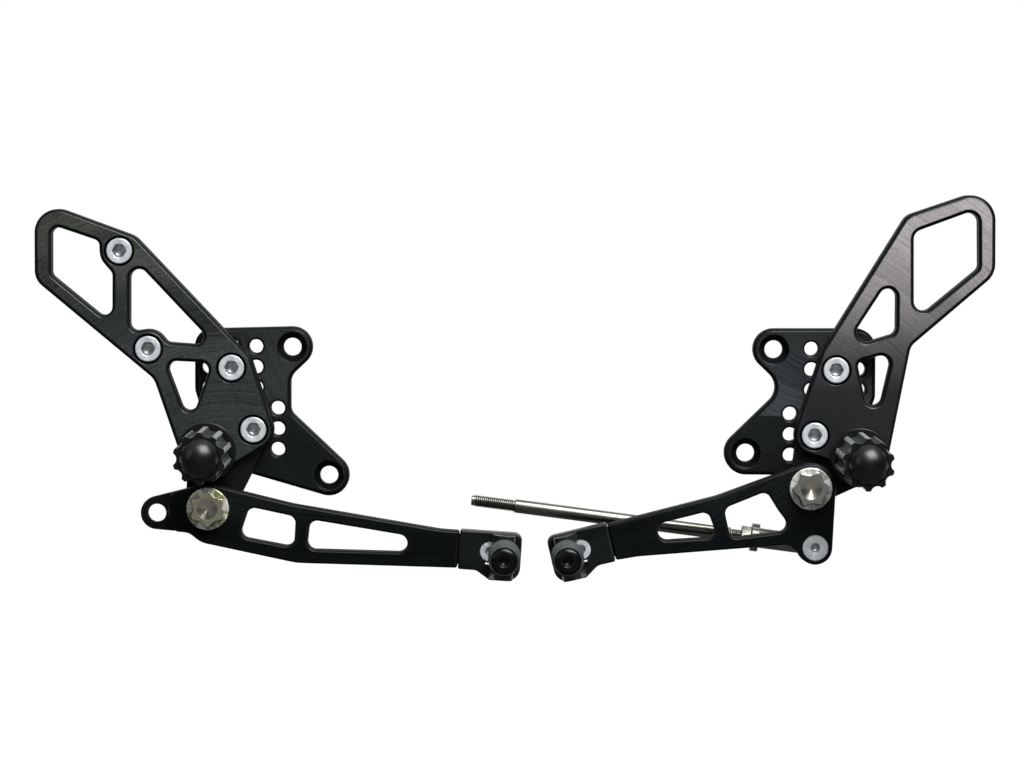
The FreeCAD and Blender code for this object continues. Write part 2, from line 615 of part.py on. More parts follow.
def rod_screw():
    """Countersunk screw through the lever, the spacer and the ball into its nut."""
    x, z = ROD_EYE
    top = LEVER_FRONT + SINK
    tip = ROD_Y + BALL_W / 2 + PLAY + NUT_T + TIP_EDGE
    body = turned([(0, top), (ROD_SCREW_HEAD_R, top), (ROD_SCREW_R, top + ROD_SCREW_HEAD_R - ROD_SCREW_R),
                   (ROD_SCREW_R, tip), (0, tip)], x, z)
    return body.cut(hexagon(x, z, ROD_SCREW_AF, top + ROD_SCREW_HEX_H, top - THROUGH))


def rod_nut(x, z, back, front):
    hole = rod(x, z, ROD_SCREW_R + SEAT, back + THROUGH, front - THROUGH)
    return hexagon(x, z, NUT_AF, back, front).cut(hole)


def bar(radius, start, end):
    return Part.makeCylinder(radius, end - start, V(start, 0, 0), V(1, 0, 0))


def rod_place(shape):
    """From the rod's own frame, x from the ball to the free end, to its place on the shift lever."""
    shape = shape.mirror(V(0, 0, 0), V(1, 0, 0))
    shape.rotate(V(0, 0, 0), ACROSS, ROD_RISE)
    shape.translate(V(ROD_EYE[0], ROD_Y, ROD_EYE[1]))
    return shape


def rod_ball():
    body = Part.makeSphere(BALL_R).common(rod(0, 0, BALL_R + THROUGH, BALL_W / 2, -BALL_W / 2))
    return body.cut(rod(0, 0, ROD_SCREW_R + FIT, BALL_W, -BALL_W))


def rod_end():
    """Eye round the ball, with a threaded shank that ends in a collar."""
    end = SHANK_END + SOCKET_L
    body = rod(0, 0, EYE_OUT_R, EYE_T / 2, -EYE_T / 2)
    body = body.fuse(bar(SHANK_R, BALL_R, end).fuse(bar(SOCKET_R, SHANK_END, end)))
    socket = bar(ROD_THREAD_R + SEAT, end - SOCKET_DEPTH, end + THROUGH)
    return body.cut([Part.makeSphere(BALL_R + FIT), socket])


def jam_nut():
    start = SHANK_END + SOCKET_L
    body = hexagon(0, 0, NUT_AF, 0, -NUT_T)
    body.rotate(V(0, 0, 0), V(0, 0, 1), 90)
    body.translate(V(start, 0, 0))
    return body.cut(bar(ROD_THREAD_R + SEAT, start - THROUGH, start + NUT_T + THROUGH))


def shift_rod():
    """Round rod, threaded at both ends."""
    start = SHANK_END + SOCKET_L - SOCKET_DEPTH + TIP_EDGE
    shoulder = SHANK_END + SOCKET_L + NUT_T + NECK_THREAD_L
    thread = ROD_REACH - ROD_THREAD_L
    body = bar(ROD_R, shoulder, thread).fuse(bar(ROD_THREAD_R, start, shoulder))
    body = body.fuse(bar(ROD_THREAD_R - RELIEF, thread - THROUGH, ROD_REACH))
    body = body.fuse(bar(ROD_THREAD_R, thread + RELIEF_L, ROD_REACH))
    rim = [e for e in body.Edges if e.Closed and abs(e.BoundBox.XMin - ROD_REACH) < 0.01]
    return body.makeChamfer(ROD_TIP, rim)


def save_screws(name, places, length, at):
    save(name, Part.makeCompound([socket_screw(x, z, length) for x, z in places]), at)


def save_common(side, peg, pivot, star_turn, at):
    """What both sides have alike: the peg with its bolt, and the lever's pivot."""
    save(side + "foot_peg", foot_peg(*peg), at)
    save(side + "peg_bolt", peg_bolt(*peg), at)
    save(side + "pivot_bolt", pivot_bolt(*pivot, star_turn), at)
    save(side + "pivot_washer", ring(*pivot, SHOULDER_R + FIT, PIVOT_WASHER_R, EAR_FRONT,
                                     EAR_FRONT - WASHER_T), at)
    save(side + "lever_bush", ring(*pivot, SHOULDER_R + FIT, BUSH_R, LEVER_BACK, LEVER_FRONT), at)


def save_brake_side():
    here = V(0, 0, 0)
    peg, pivot, heel, (upper, lower) = BRAKE_PEG, BRAKE_PIVOT, BRAKE_HEEL, BRAKE_SCREWS
    cylinder_top, cylinder_low = CYLINDER_SCREWS
    save("brake_mounting_plate", mounting_plate(
        [round_at(upper, 8.5, -10.4, 10.7), round_at(upper, 8.5, -10.4, -10.3),
         round_at(lower, 6.0, -13.8, -12.9), round_at(BRAKE_LOW_BOLT, 10.2),
         round_at(BRAKE_LOW_BOLT, -6.0, -13.0, 34.6), round_at(BRAKE_BOLT, -7.5, 6.8, -17.9),
         round_at(BRAKE_BOLT, 10.2)],
        [BRAKE_BOLT, BRAKE_LOW_BOLT], BRAKE_SCREWS), here)
    save("brake_hanger_plate", hanger_plate(
        [round_at(heel, 11.7), round_at(heel, 9.8, -1.9, -18.9),
         round_at(cylinder_low, -10.0, -5.6, -20.9), round_at(peg, 13.0), round_at(lower, 10.2),
         round_at(upper, 7.2, 3.6, 1.0), round_at(cylinder_top, 12.2, 1.2, -3.1)],
        [[round_at(heel, 3.5, 0.3, -1.0), round_at(heel, 4.0, 0.8, -19.1),
          round_at(cylinder_top, 4.2, -7.7, -27.8), round_at(cylinder_top, 4.0, -7.4, -12.6),
          round_at(cylinder_top, -CYLINDER_PAD_R), round_at(cylinder_top, 3.5, -13.4, 2.4)],
         [round_at(cylinder_top, 4.5, 9.9, -13.6), round_at(cylinder_low, 3.8, -5.1, 13.0),
          round_at(cylinder_low, -CYLINDER_PAD_R), round_at(cylinder_low, 3.5, 11.7, 6.7),
          round_at(upper, 4.0, -17.9, 15.7)],
         [round_at(upper, 4.0, -27.2, -0.7), round_at(lower, 4.0, -31.9, 13.7),
          round_at(upper, 4.0, -15.4, -1.3)]],
        [round_at(pivot, 11.5), round_at(peg, 10.0), round_at(lower, 9.2)], pivot, peg,
        BRAKE_SCREWS + CYLINDER_SCREWS), here)
    save_screws("brake_plate_screws", BRAKE_SCREWS, PLATE_SCREW_L, here)
    save_screws("brake_cylinder_screws", CYLINDER_SCREWS, CYLINDER_SCREW_L, here)
    save_common("brake_", peg, pivot, BRAKE_STAR_TURN, here)
    save("brake_lever", brake_lever(), here)
    save_toe("brake_", brake_place, here)


def save_shift_side():
    peg, pivot, heel, (upper, lower) = SHIFT_PEG, SHIFT_PIVOT, SHIFT_HEEL, SHIFT_SCREWS
    save("shift_mounting_plate", mounting_plate(
        [round_at(SHIFT_BOLT, 10.5), round_at(SHIFT_BOLT, -9.0, -8.4, -19.0),
         round_at(SHIFT_LOW_BOLT, 10.8), round_at(lower, 6.0, 12.0, -14.7),
         round_at(upper, 8.5, 11.8, -12.6), round_at(upper, 10.0, 10.4, 10.4)],
        [SHIFT_BOLT, SHIFT_LOW_BOLT], SHIFT_SCREWS), SHIFT_AT)
    save("shift_hanger_plate", hanger_plate(
        [round_at(heel, 8.8, -26.1, -4.8), round_at(upper, 12.3, 4.1, 4.8), round_at(lower, 10.2),
         round_at(pivot, -5.0, 6.5, 8.7), round_at(peg, 14.0), round_at(peg, -7.0, 31.8, 51.9),
         round_at(heel, 11.5, 1.1, -21.6), round_at(heel, 12.6)],
        [[round_at(heel, 5.0, -23.1, -9.4), round_at(heel, 4.8, -23.2, -40.2),
          round_at(heel, 4.0, 0.2, -22.0), round_at(heel, 4.8, -0.8, -1.0)],
         [round_at(upper, 4.2, 25.6, 36.5), round_at(upper, 4.9, 15.1, 19.1),
          round_at(upper, 4.0, 25.7, 21.4)],
         [round_at(upper, 3.2, 14.1, 1.9), round_at(peg, 4.4, 6.8, 30.4), round_at(upper, 4.5, 22.2, 2.8)]],
        [round_at(pivot, 9.6), round_at(lower, 9.0), round_at(peg, 13.0)], pivot, peg,
        SHIFT_SCREWS), SHIFT_AT)
    save_screws("shift_plate_screws", SHIFT_SCREWS, PLATE_SCREW_L, SHIFT_AT)
    save_common("shift_", peg, pivot, SHIFT_STAR_TURN, SHIFT_AT)
    save("shift_lever", shift_lever(), SHIFT_AT)
    save_toe("shift_", shift_place, SHIFT_AT)
    save("shift_rod_screw", rod_screw(), SHIFT_AT)
    save("shift_rod_spacer", ring(*ROD_EYE, ROD_SCREW_R + FIT, SPACER_R, LEVER_BACK + SPACER_T,
                                  LEVER_BACK), SHIFT_AT)
    nut_front = ROD_Y + BALL_W / 2 + PLAY
    save("shift_rod_screw_nut", rod_nut(*ROD_EYE, nut_front + NUT_T, nut_front), SHIFT_AT)
    for name, make in {"shift_rod_ball": rod_ball, "shift_rod_end": rod_end, "shift_rod_jam_nut": jam_nut,
                       "shift_rod": shift_rod}.items():
        save(name, rod_place(make()), SHIFT_AT)


save_brake_side()
save_shift_side()
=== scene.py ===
import bmesh
import bpy
import json
import math
from mathutils import Matrix, Vector


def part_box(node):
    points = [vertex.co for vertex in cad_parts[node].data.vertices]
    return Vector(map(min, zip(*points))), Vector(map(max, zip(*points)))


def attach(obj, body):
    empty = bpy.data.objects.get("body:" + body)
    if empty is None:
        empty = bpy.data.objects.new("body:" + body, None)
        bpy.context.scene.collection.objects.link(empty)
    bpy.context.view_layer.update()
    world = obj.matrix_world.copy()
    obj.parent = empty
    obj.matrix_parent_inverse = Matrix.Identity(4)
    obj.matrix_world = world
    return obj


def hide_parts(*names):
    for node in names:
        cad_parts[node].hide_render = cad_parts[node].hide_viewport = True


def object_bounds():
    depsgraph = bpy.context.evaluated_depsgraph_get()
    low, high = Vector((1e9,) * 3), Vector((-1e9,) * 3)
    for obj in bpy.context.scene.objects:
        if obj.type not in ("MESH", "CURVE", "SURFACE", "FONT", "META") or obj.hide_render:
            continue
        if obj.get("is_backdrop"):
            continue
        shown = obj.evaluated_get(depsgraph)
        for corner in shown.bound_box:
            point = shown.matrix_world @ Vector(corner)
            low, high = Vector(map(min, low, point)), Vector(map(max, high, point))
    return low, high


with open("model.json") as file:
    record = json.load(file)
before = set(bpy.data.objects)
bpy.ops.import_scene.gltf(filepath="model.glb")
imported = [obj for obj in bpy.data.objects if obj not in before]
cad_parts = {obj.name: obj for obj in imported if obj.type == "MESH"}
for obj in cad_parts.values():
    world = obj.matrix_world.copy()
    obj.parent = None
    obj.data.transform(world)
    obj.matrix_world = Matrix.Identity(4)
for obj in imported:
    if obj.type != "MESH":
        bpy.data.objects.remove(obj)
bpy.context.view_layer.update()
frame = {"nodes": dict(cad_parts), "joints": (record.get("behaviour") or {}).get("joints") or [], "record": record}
nodes = frame["nodes"]

# The studio: a camera far in front of the plates and a little above them, in a white room with a
# pale floor. One large softbox, brighter in its middle, hangs above and to the right, and a weaker
# one stands to the left.
MM = 0.001
PICTURE_WIDTH = 512.0 * MM      # what the picture's width spans in the plane of the plates
CAMERA_AWAY = 2500.0 * MM
CAMERA_RAISED = math.radians(2.5)
PICTURE_MIDDLE = Vector((110.15, -16.0, -18.25)) * MM

view_data = bpy.data.cameras.new("studio_camera")
view_data.sensor_width = 36.0
view_data.lens = view_data.sensor_width * CAMERA_AWAY / PICTURE_WIDTH
view_data.clip_end = 50.0
camera = bpy.data.objects.new("studio_camera", view_data)
away = Vector((0, -math.cos(CAMERA_RAISED), math.sin(CAMERA_RAISED)))
camera.location = PICTURE_MIDDLE + away * CAMERA_AWAY
camera.rotation_euler = (math.pi / 2 - CAMERA_RAISED, 0, 0)
bpy.context.collection.objects.link(camera)
bpy.context.scene.camera = camera
bpy.context.scene.view_settings.view_transform = "Standard"


class Wire:
    """An output in a node tree. Sums and products of wires and numbers add Math nodes."""

    def __init__(self, tree, socket=None):
        self.tree = tree
        self.socket = socket

    def node(self, kind, settings=None, inputs=None, out=0):
        """A new node: its settings first, then the values or wires of its sockets."""
        made = self.tree.nodes.new("ShaderNode" + kind)
        for name, value in (settings or {}).items():
            if name == "stops":
                ramp = made.color_ramp.elements
                while len(ramp) < len(value):
                    ramp.new(0.5)
                for element, (position, colour) in zip(ramp, value):
                    element.position = position
                    element.color = (*colour, 1.0)
            else:
                setattr(made, name, value)
        for name, value in (inputs or {}).items():
            if isinstance(value, Wire):
                self.tree.links.new(value.socket, made.inputs[name])
            else:
                made.inputs[name].default_value = value
        return Wire(self.tree, made.outputs[out] if made.outputs else None)

    def twin(self, name):
        """Another output of the same node."""
        return Wire(self.tree, self.socket.node.outputs[name])

    def math(self, operation, *values):
        """A Math node on wires and numbers."""
        return self.node("Math", {"operation": operation}, dict(enumerate(values)))

    def vector(self, operation, *values, out=0):
        """A Vector Math node on wires and vectors."""
        return self.node("VectorMath", {"operation": operation}, dict(enumerate(values)), out)

    def __add__(self, other):
        return self.math("ADD", self, other)

    def __sub__(self, other):
        return self.math("SUBTRACT", self, other)

    def __rsub__(self, other):
        return self.math("SUBTRACT", other, self)

    def __mul__(self, other):
        return self.math("MULTIPLY", self, other)

    def __truediv__(self, other):
        return self.math("DIVIDE", self, other)

    __radd__ = __add__
    __rmul__ = __mul__

    def step(self, low, high):
        """0 at low, 1 at high, smooth between and level outside."""
        return self.node("MapRange", {"interpolation_type": "SMOOTHSTEP"},
                         {"Value": self, "From Min": low, "From Max": high})

    def noise(self, scale, detail=2.0, rough=0.5, line=False):
        """Noise over a place, or along a line where this wire is a length; scale is spots per metre."""
        inputs = {"W" if line else "Vector": self, "Scale": scale, "Detail": detail, "Roughness": rough}
        return self.node("TexNoise", {"noise_dimensions": "1D" if line else "3D"}, inputs)

    def blend(self, first, second):
        """The first colour where this wire is 0, the second where it is 1."""
        colours = [c if isinstance(c, Wire) else (*c, 1.0) for c in (first, second)]
        return self.node("Mix", {"data_type": "RGBA"}, {"Factor": self, 6: colours[0], 7: colours[1]}, out=2)


world = bpy.data.worlds.new("white_room")
world.use_nodes = True
world.node_tree.nodes.clear()
room = Wire(world.node_tree)
toward = room.node("SeparateXYZ", inputs={"Vector": room.node("TexCoord", out="Generated")})
seen = room.node("LightPath", out="Is Camera Ray")
mirrored = room.node("LightPath", out="Is Glossy Ray") + room.node("LightPath", out="Is Transmission Ray")
SIDE_LIGHT = 0.06               # how bright the room is all round
FRONT_LIGHT = 0.17              # and what it has more, behind the camera
TOP_LIGHT = 0.34                # and at the ceiling
glow = (SIDE_LIGHT + (-1.0 * toward.twin("Y")).step(0.80, 0.98) * FRONT_LIGHT
        + toward.twin("Z").step(0.35, 0.95) * TOP_LIGHT)
backdrop = toward.twin("Y").step(0.45, 0.85)
white = seen.math("MINIMUM", 1.0, seen + mirrored * backdrop)
level = glow + (1.0 - glow) * white
room.node("OutputWorld", inputs={"Surface": room.node("Background", inputs={
    "Color": (1.0, 1.0, 1.0, 1.0), "Strength": level})})
bpy.context.scene.world = world


def softbox(name, direction, distance, width, height, power):
    """An area lamp that faces the middle of the picture, in metres and watts."""
    data = bpy.data.lights.new(name, "AREA")
    data.shape = "RECTANGLE"
    data.size = width
    data.size_y = height
    data.energy = power
    lamp = bpy.data.objects.new(name, data)
    out = Vector(direction).normalized()
    lamp.location = PICTURE_MIDDLE + out * distance
    lamp.rotation_euler = out.to_track_quat("Z", "Y").to_euler()
    bpy.context.collection.objects.link(lamp)


KEY_WAY = (0.32, -0.46, 0.83)
softbox("key_softbox", KEY_WAY, 1.35, 1.2, 1.2, 23.0)
softbox("key_softbox_middle", KEY_WAY, 1.34, 0.8, 0.8, 13.0)
softbox("left_softbox", (-0.80, -0.45, 0.40), 1.8, 0.6, 1.2, 2.5)

FLOOR_HEIGHT = -300.0 * MM
FLOOR_R = 3000.0 * MM
FLOOR_GREY = 0.11
FLOOR_LIFT = 0.93               # added to what the lit floor shows, so that it ends at white
floor_mesh = bpy.data.meshes.new("floor")
work = bmesh.new()
bmesh.ops.create_circle(work, cap_ends=True, segments=64, radius=FLOOR_R,
                        matrix=Matrix.Translation((0, 0, FLOOR_HEIGHT)))
work.to_mesh(floor_mesh)
work.free()
floor = bpy.data.objects.new("floor", floor_mesh)
bpy.context.collection.objects.link(floor)
floor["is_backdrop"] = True
floor_paint = bpy.data.materials.new("pale_floor")
floor_paint.use_nodes = True
floor_paint.node_tree.nodes.clear()
ground = Wire(floor_paint.node_tree)
rays = ground.node("LightPath", out="Is Camera Ray")
place = ground.node("TexCoord", out="Object")
behind = ground.node("SeparateXYZ", inputs={"Vector": place}, out="Y").step(0.15, 0.6)
beyond = place.vector("LENGTH", place, out="Value").step(0.35, 1.3)
mirrored = (rays.twin("Is Glossy Ray") + rays.twin("Is Transmission Ray")) * behind
lift = (FLOOR_LIFT + (1.0 - FLOOR_LIFT) * beyond) * (rays + mirrored)
ground.node("OutputMaterial", inputs={"Surface": ground.node("AddShader", inputs={
    0: ground.node("Emission", inputs={"Color": (1, 1, 1, 1), "Strength": lift}),
    1: ground.node("BsdfDiffuse", inputs={"Color": (FLOOR_GREY, FLOOR_GREY, FLOOR_GREY, 1)})})})
floor_mesh.materials.append(floor_paint)

# Mounting plates: 10 mm aluminium plate, its outline, bores and chamfer cut on a mill, anodised black.
# The cutter's last passes leave faint arcs on the flat face. The face's tone changes with height,
# painted light and shade; the chamfers and walls are painted near black and the sunk faces dark,
# both painted shade. The sharp edges are a little lighter from rubbing.
SHARP_ANGLE = math.radians(24)  # edges that turn by more are rounded
EDGE_ROUND = 0.30 * MM
SAME_POINT = 0.002 * MM         # points nearer than this are one
SAME_FACE = math.radians(0.02)  # faces that lean by less are one
OUTER_FACE = 0.01 * MM          # faces this near a plate's front or back are its outer ones
STRAIGHT_ON = 0.999             # how much of Y the normal of a flat face has
CUTTER_PASS = 17.0 * MM         # from one sweep of the face cutter to the next
CUTTER_WOBBLE = 2.0 * MM
body_of = {node: body for body, members in frame["record"]["behaviour"]["bodies"].items() for node in members}


def middle(node):
    """The middle of a node's box, which lies on the axis of a turned piece."""
    low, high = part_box(node)
    return (low + high) / 2


def made_piece(name, work, replaced, paints, rounded=0.0, sharp=SHARP_ANGLE):
    """The finished piece: its mesh, the node that it stands for, its body, paints and soft edges.

    Where there are several paints, the last is that of the soft edges.
    """
    band = set()
    if rounded:
        corners = [edge for edge in work.edges if edge.calc_face_angle(0.0) > sharp]
        band = set(bmesh.ops.bevel(work, geom=corners, offset=rounded, affect="EDGES", segments=2,
                                   profile=0.5, material=-1, clamp_overlap=False)["faces"])
    for face in band:
        face.material_index = len(paints) - 1
    for face in work.faces:
        face.smooth = True
    for edge in work.edges:
        along = {face in band for face in edge.link_faces}
        edge.smooth = len(along) == 1 and edge.calc_face_angle(0.0) < sharp
    mesh = bpy.data.meshes.new(name)
    work.to_mesh(mesh)
    work.free()
    piece = bpy.data.objects.new(name, mesh)
    bpy.context.collection.objects.link(piece)
    for paint in paints:
        mesh.materials.append(paint)
    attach(piece, body_of[replaced])
    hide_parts(replaced)


def merged(node, *paints, rounded=EDGE_ROUND):
    """A merged copy of a solid with soft edges, which notes each point's place from the solid's middle.

    Where there are several paints, they are for the front and back faces, the faces sunk between
    them, the chamfers and walls, and the soft edges.
    """
    work = bmesh.new()
    work.from_mesh(nodes[node].data)
    bmesh.ops.remove_doubles(work, verts=work.verts, dist=SAME_POINT)
    bmesh.ops.dissolve_limit(work, angle_limit=SAME_FACE, verts=work.verts, edges=work.edges)
    if len(paints) > 1:
        low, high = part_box(node)
        for face in work.faces:
            depth = face.calc_center_median().y
            outer = min(depth - low.y, high.y - depth) < OUTER_FACE
            face.material_index = (0 if outer else 1) if abs(face.normal.y) > STRAIGHT_ON else 2
    local = work.verts.layers.float_vector.new("local")
    centre = middle(node)
    for vert in work.verts:
        vert[local] = vert.co - centre
    made_piece(node + "_finished", work, node, paints, rounded)


def new_paint(name):
    """An empty material and the start of its node tree."""
    made = bpy.data.materials.new(name)
    made.use_nodes = True
    made.node_tree.nodes.clear()
    return made, Wire(made.node_tree)


def shade(start, inputs):
    """The Principled shader and the output that end a material."""
    start.node("OutputMaterial", inputs={"Surface": start.node("BsdfPrincipled", inputs=inputs)})


def bumped(start, height, depth, strength):
    """The normal of a surface that rises by this depth where the height is 1."""
    return start.node("Bump", inputs={"Strength": strength, "Distance": depth, "Height": height})


def anodised(name, tones_with_painted_light, gloss, cutter, marks=1.0):
    """Anodised face: a tone for each height, painted light and shade, under faint arcs round the cutter's centre.
    """
    made, start = new_paint(name)
    place = start.node("TexCoord", out="Object")
    bottom, span = tones_with_painted_light[0][0], tones_with_painted_light[-1][0] - tones_with_painted_light[0][0]
    height = (start.node("SeparateXYZ", inputs={"Vector": place}, out="Z") - bottom) / span
    stops = [((at - bottom) / span, colour) for at, colour in tones_with_painted_light]
    spread = start.node("Mapping", inputs={"Vector": place, "Location": (-cutter[0], 0.0, -cutter[1])})
    level = spread.vector("MULTIPLY", spread, (1.0, 0.0, 1.0))
    reach = level.vector("LENGTH", level, out="Value") + place.noise(25.0, 1.0) * CUTTER_WOBBLE
    passes = reach.math("FLOOR", reach / CUTTER_PASS).noise(3.7, 0.0, line=True)
    arcs = reach.noise(700.0, 4.0, 0.8, line=True)
    cloud = place.noise(30.0, 3.0)
    grain = place.noise(1300.0, 2.0)
    uneven = 0.8 * (passes - 0.5) + 2.2 * (arcs - 0.5) + 0.7 * (cloud - 0.5) + 1.6 * (grain - 0.5)
    vary = 1.0 + marks * uneven
    tone = start.node("ValToRGB", {"stops": stops}, {"Fac": height})
    shade(start, {"Base Color": tone.vector("MULTIPLY", tone, vary), "Roughness": 0.32 + arcs * 0.14,
                  "Specular IOR Level": gloss, "Normal": bumped(start, arcs + grain * 0.5, 0.02 * MM, 0.25)})
    return made


def satin_black(name, colour, rough, gloss, grain_size, grain_depth):
    """Black without tool marks, with a fine even grain."""
    made, start = new_paint(name)
    place = start.node("TexCoord", out="Object")
    grain = place.noise(1.0 / grain_size, 2.0)
    cloud = place.noise(60.0, 3.0)
    face = cloud.step(0.3, 0.7).blend(colour, tuple(1.7 * part for part in colour))
    shade(start, {"Base Color": face, "Roughness": rough + cloud * 0.10 - 0.05, "Specular IOR Level": gloss,
                  "Normal": bumped(start, grain, grain_depth, 0.3)})
    return made


# Chamfers and walls of the plates and levers, painted near black: painted shade.
wall_painted_shade = satin_black("milled_wall_painted_shade", (0.0024, 0.0030, 0.0032), 0.65, 0.10, 0.3 * MM, 0.01 * MM)
edge_black = satin_black("rubbed_edge", (0.010, 0.012, 0.013), 0.28, 0.45, 0.4 * MM, 0.01 * MM)
dim_edge = satin_black("dyed_edge", (0.0055, 0.0065, 0.0070), 0.32, 0.22, 0.4 * MM, 0.01 * MM)
# Faces sunk between a plate's front and back, painted darker than the faces: painted shade.
sunk_painted_shade = satin_black("sunk_face_painted_shade", (0.0050, 0.0062, 0.0066), 0.40, 0.12, 0.4 * MM, 0.01 * MM)
# The mounting plates' tone changes with height, painted light and shade: dark towards the bottom, on the right one
# below a sharp line, a painted shadow; lightest a little higher, fading to the top.
mount_black = anodised("mount_anodised", ((-0.050, (0.0070, 0.0095, 0.0100)), (-0.035, (0.012, 0.015, 0.016)),
                                          (-0.022, (0.036, 0.041, 0.043)), (0.004, (0.024, 0.027, 0.028))),
                       0.20, (0.075, 0.030))
shift_mount_black = anodised("shift_mount_anodised", (
    (-0.060, (0.0075, 0.0095, 0.0105)), (-0.0348, (0.0085, 0.0105, 0.0115)), (-0.0342, (0.046, 0.053, 0.056)),
    (-0.015, (0.034, 0.038, 0.042)), (0.008, (0.022, 0.025, 0.026))), 0.20, (0.262, 0.010))
merged("brake_mounting_plate", mount_black, sunk_painted_shade, wall_painted_shade, dim_edge)
merged("shift_mounting_plate", shift_mount_black, sunk_painted_shade, wall_painted_shade, dim_edge)

# Hanger plates: 12 mm plate with three windows and a chamfered front, and a recessed ear below for the
# lever's pivot. Their tone changes with height, painted light and shade, and the right one's face is
# painted browner and paler towards its top, a painted reflection of the light above.
# The left hanger's tone changes with height: painted light and shade.
hanger_black = anodised("hanger_anodised", (
    (-0.060, (0.026, 0.033, 0.034)), (-0.016, (0.036, 0.044, 0.045)), (-0.004, (0.048, 0.055, 0.056)),
    (0.012, (0.023, 0.027, 0.028)), (0.028, (0.027, 0.031, 0.030)), (0.042, (0.052, 0.058, 0.054)),
    (0.068, (0.045, 0.051, 0.038))), 0.34, (-0.030, -0.095))
# The right hanger, painted paler and browner towards its top: a painted reflection.
hanger_painted_sheen = anodised("hanger_anodised_painted_sheen", (
    (-0.050, (0.013, 0.014, 0.016)), (-0.022, (0.014, 0.016, 0.018)), (-0.008, (0.046, 0.048, 0.052)),
    (0.004, (0.090, 0.090, 0.095)), (0.022, (0.200, 0.190, 0.198)), (0.045, (0.350, 0.325, 0.335)),
    (0.074, (0.370, 0.345, 0.355))), 0.34, (0.215, -0.095), 0.5)
merged("brake_hanger_plate", hanger_black, sunk_painted_shade, wall_painted_shade, edge_black)
merged("shift_hanger_plate", hanger_painted_sheen, sunk_painted_shade, wall_painted_shade, edge_black)

# Foot pegs: turned bar with ten flutes and four rings milled into its grip and a smooth domed nose.
# They are anodised black over a blasted surface, and the lands between the flutes are painted paler,
# a painted highlight.
# A bolt from behind, in black steel, holds each to its hanger.
PEG_FLANGE_R = 14.7 * MM
PEG_FLANGE_T = 3.0 * MM
PEG_R = 13.0 * MM
PEG_CORE_R = 10.8 * MM
PEG_RINGS = 4
PEG_RING_W = 2.4 * MM
PEG_FLUTES = 10
PEG_FLUTE_R = 3.2 * MM
PEG_FLUTE_AT = PEG_R + 1.2 * MM     # axis of a flute's cutter from the peg's axis
PEG_DOME_R = 10.0 * MM
PEG_DOME_H = 8.0 * MM
PEG_BORE_R = 3.52 * MM
PEG_BORE_L = 20.0 * MM
PEG_EDGE = 0.3 * MM
PEG_FLUTE_STEPS = 24            # points round the peg, for each flute
PEG_DOME_STEPS = 16


def spun(work, profile, steps=48):
    """A profile of (radius, depth) points, spun round the Y axis into a skin."""
    points = [work.verts.new((r, y, 0)) for r, y in profile]
    edges = [work.edges.new(pair) for pair in zip(points, points[1:])]
    bmesh.ops.spin(work, geom=points + edges, cent=(0, 0, 0), axis=(0, 1, 0), angle=math.tau,
                   steps=steps, use_merge=True)
    bmesh.ops.remove_doubles(work, verts=work.verts, dist=SAME_POINT / 2)


def on_axis(node):
    """The place of a piece turned round Y: the axis of the node that it stands for."""
    centre = middle(node)
    return Matrix.Translation((centre.x, 0, centre.z))


def settle(work, place):
    """Notes each point's place from the piece's own axis, then moves the piece to where it belongs."""
    local = work.verts.layers.float_vector.new("local")
    for vert in work.verts:
        vert[local] = vert.co
    bmesh.ops.transform(work, matrix=place, verts=work.verts)
    bmesh.ops.recalc_face_normals(work, faces=work.faces)


def round_axis(start):
    """A point's place from its piece's own axis, which lies along Y, and its distance from that axis."""
    place = start.node("Attribute", {"attribute_name": "local"}, out="Vector")
    across = place.vector("MULTIPLY", place, (1.0, 0.0, 1.0))
    return place, across.vector("LENGTH", across, out="Value")


def blasted_black(name, end, neck):
    """Black anodising over a blasted surface, with the lands of its grip painted paler: a painted highlight."""
    made, start = new_paint(name)
    place, reach = round_axis(start)
    depth = start.node("SeparateXYZ", inputs={"Vector": place}, out="Y")
    ring = neck - PEG_RING_W
    grip = depth.step(end + 0.1 * MM, end + 0.4 * MM) - depth.step(ring - 0.4 * MM, ring - 0.1 * MM)
    land = reach.step(PEG_R - 0.5 * MM, PEG_R - 0.2 * MM)
    flute = reach.step(PEG_CORE_R - 0.6 * MM, PEG_CORE_R - 0.2 * MM)
    grain = place.noise(2500.0, 2.0)
    cloud = place.noise(160.0, 3.0)
    # Painted highlight: the lands are painted pale to show the light they catch.
    land_painted_glint = cloud.step(0.35, 0.65).blend((0.170, 0.182, 0.185), (0.260, 0.275, 0.278))
    grip_painted_glint = flute.blend((0.004, 0.005, 0.005), land.blend((0.036, 0.042, 0.043), land_painted_glint))
    shade(start, {"Base Color": grip.blend((0.0014, 0.0020, 0.0021), grip_painted_glint), "Roughness": 0.30 + cloud * 0.06,
                  "Specular IOR Level": 0.52, "Normal": bumped(start, grain, 0.01 * MM, 0.12)})
    return made


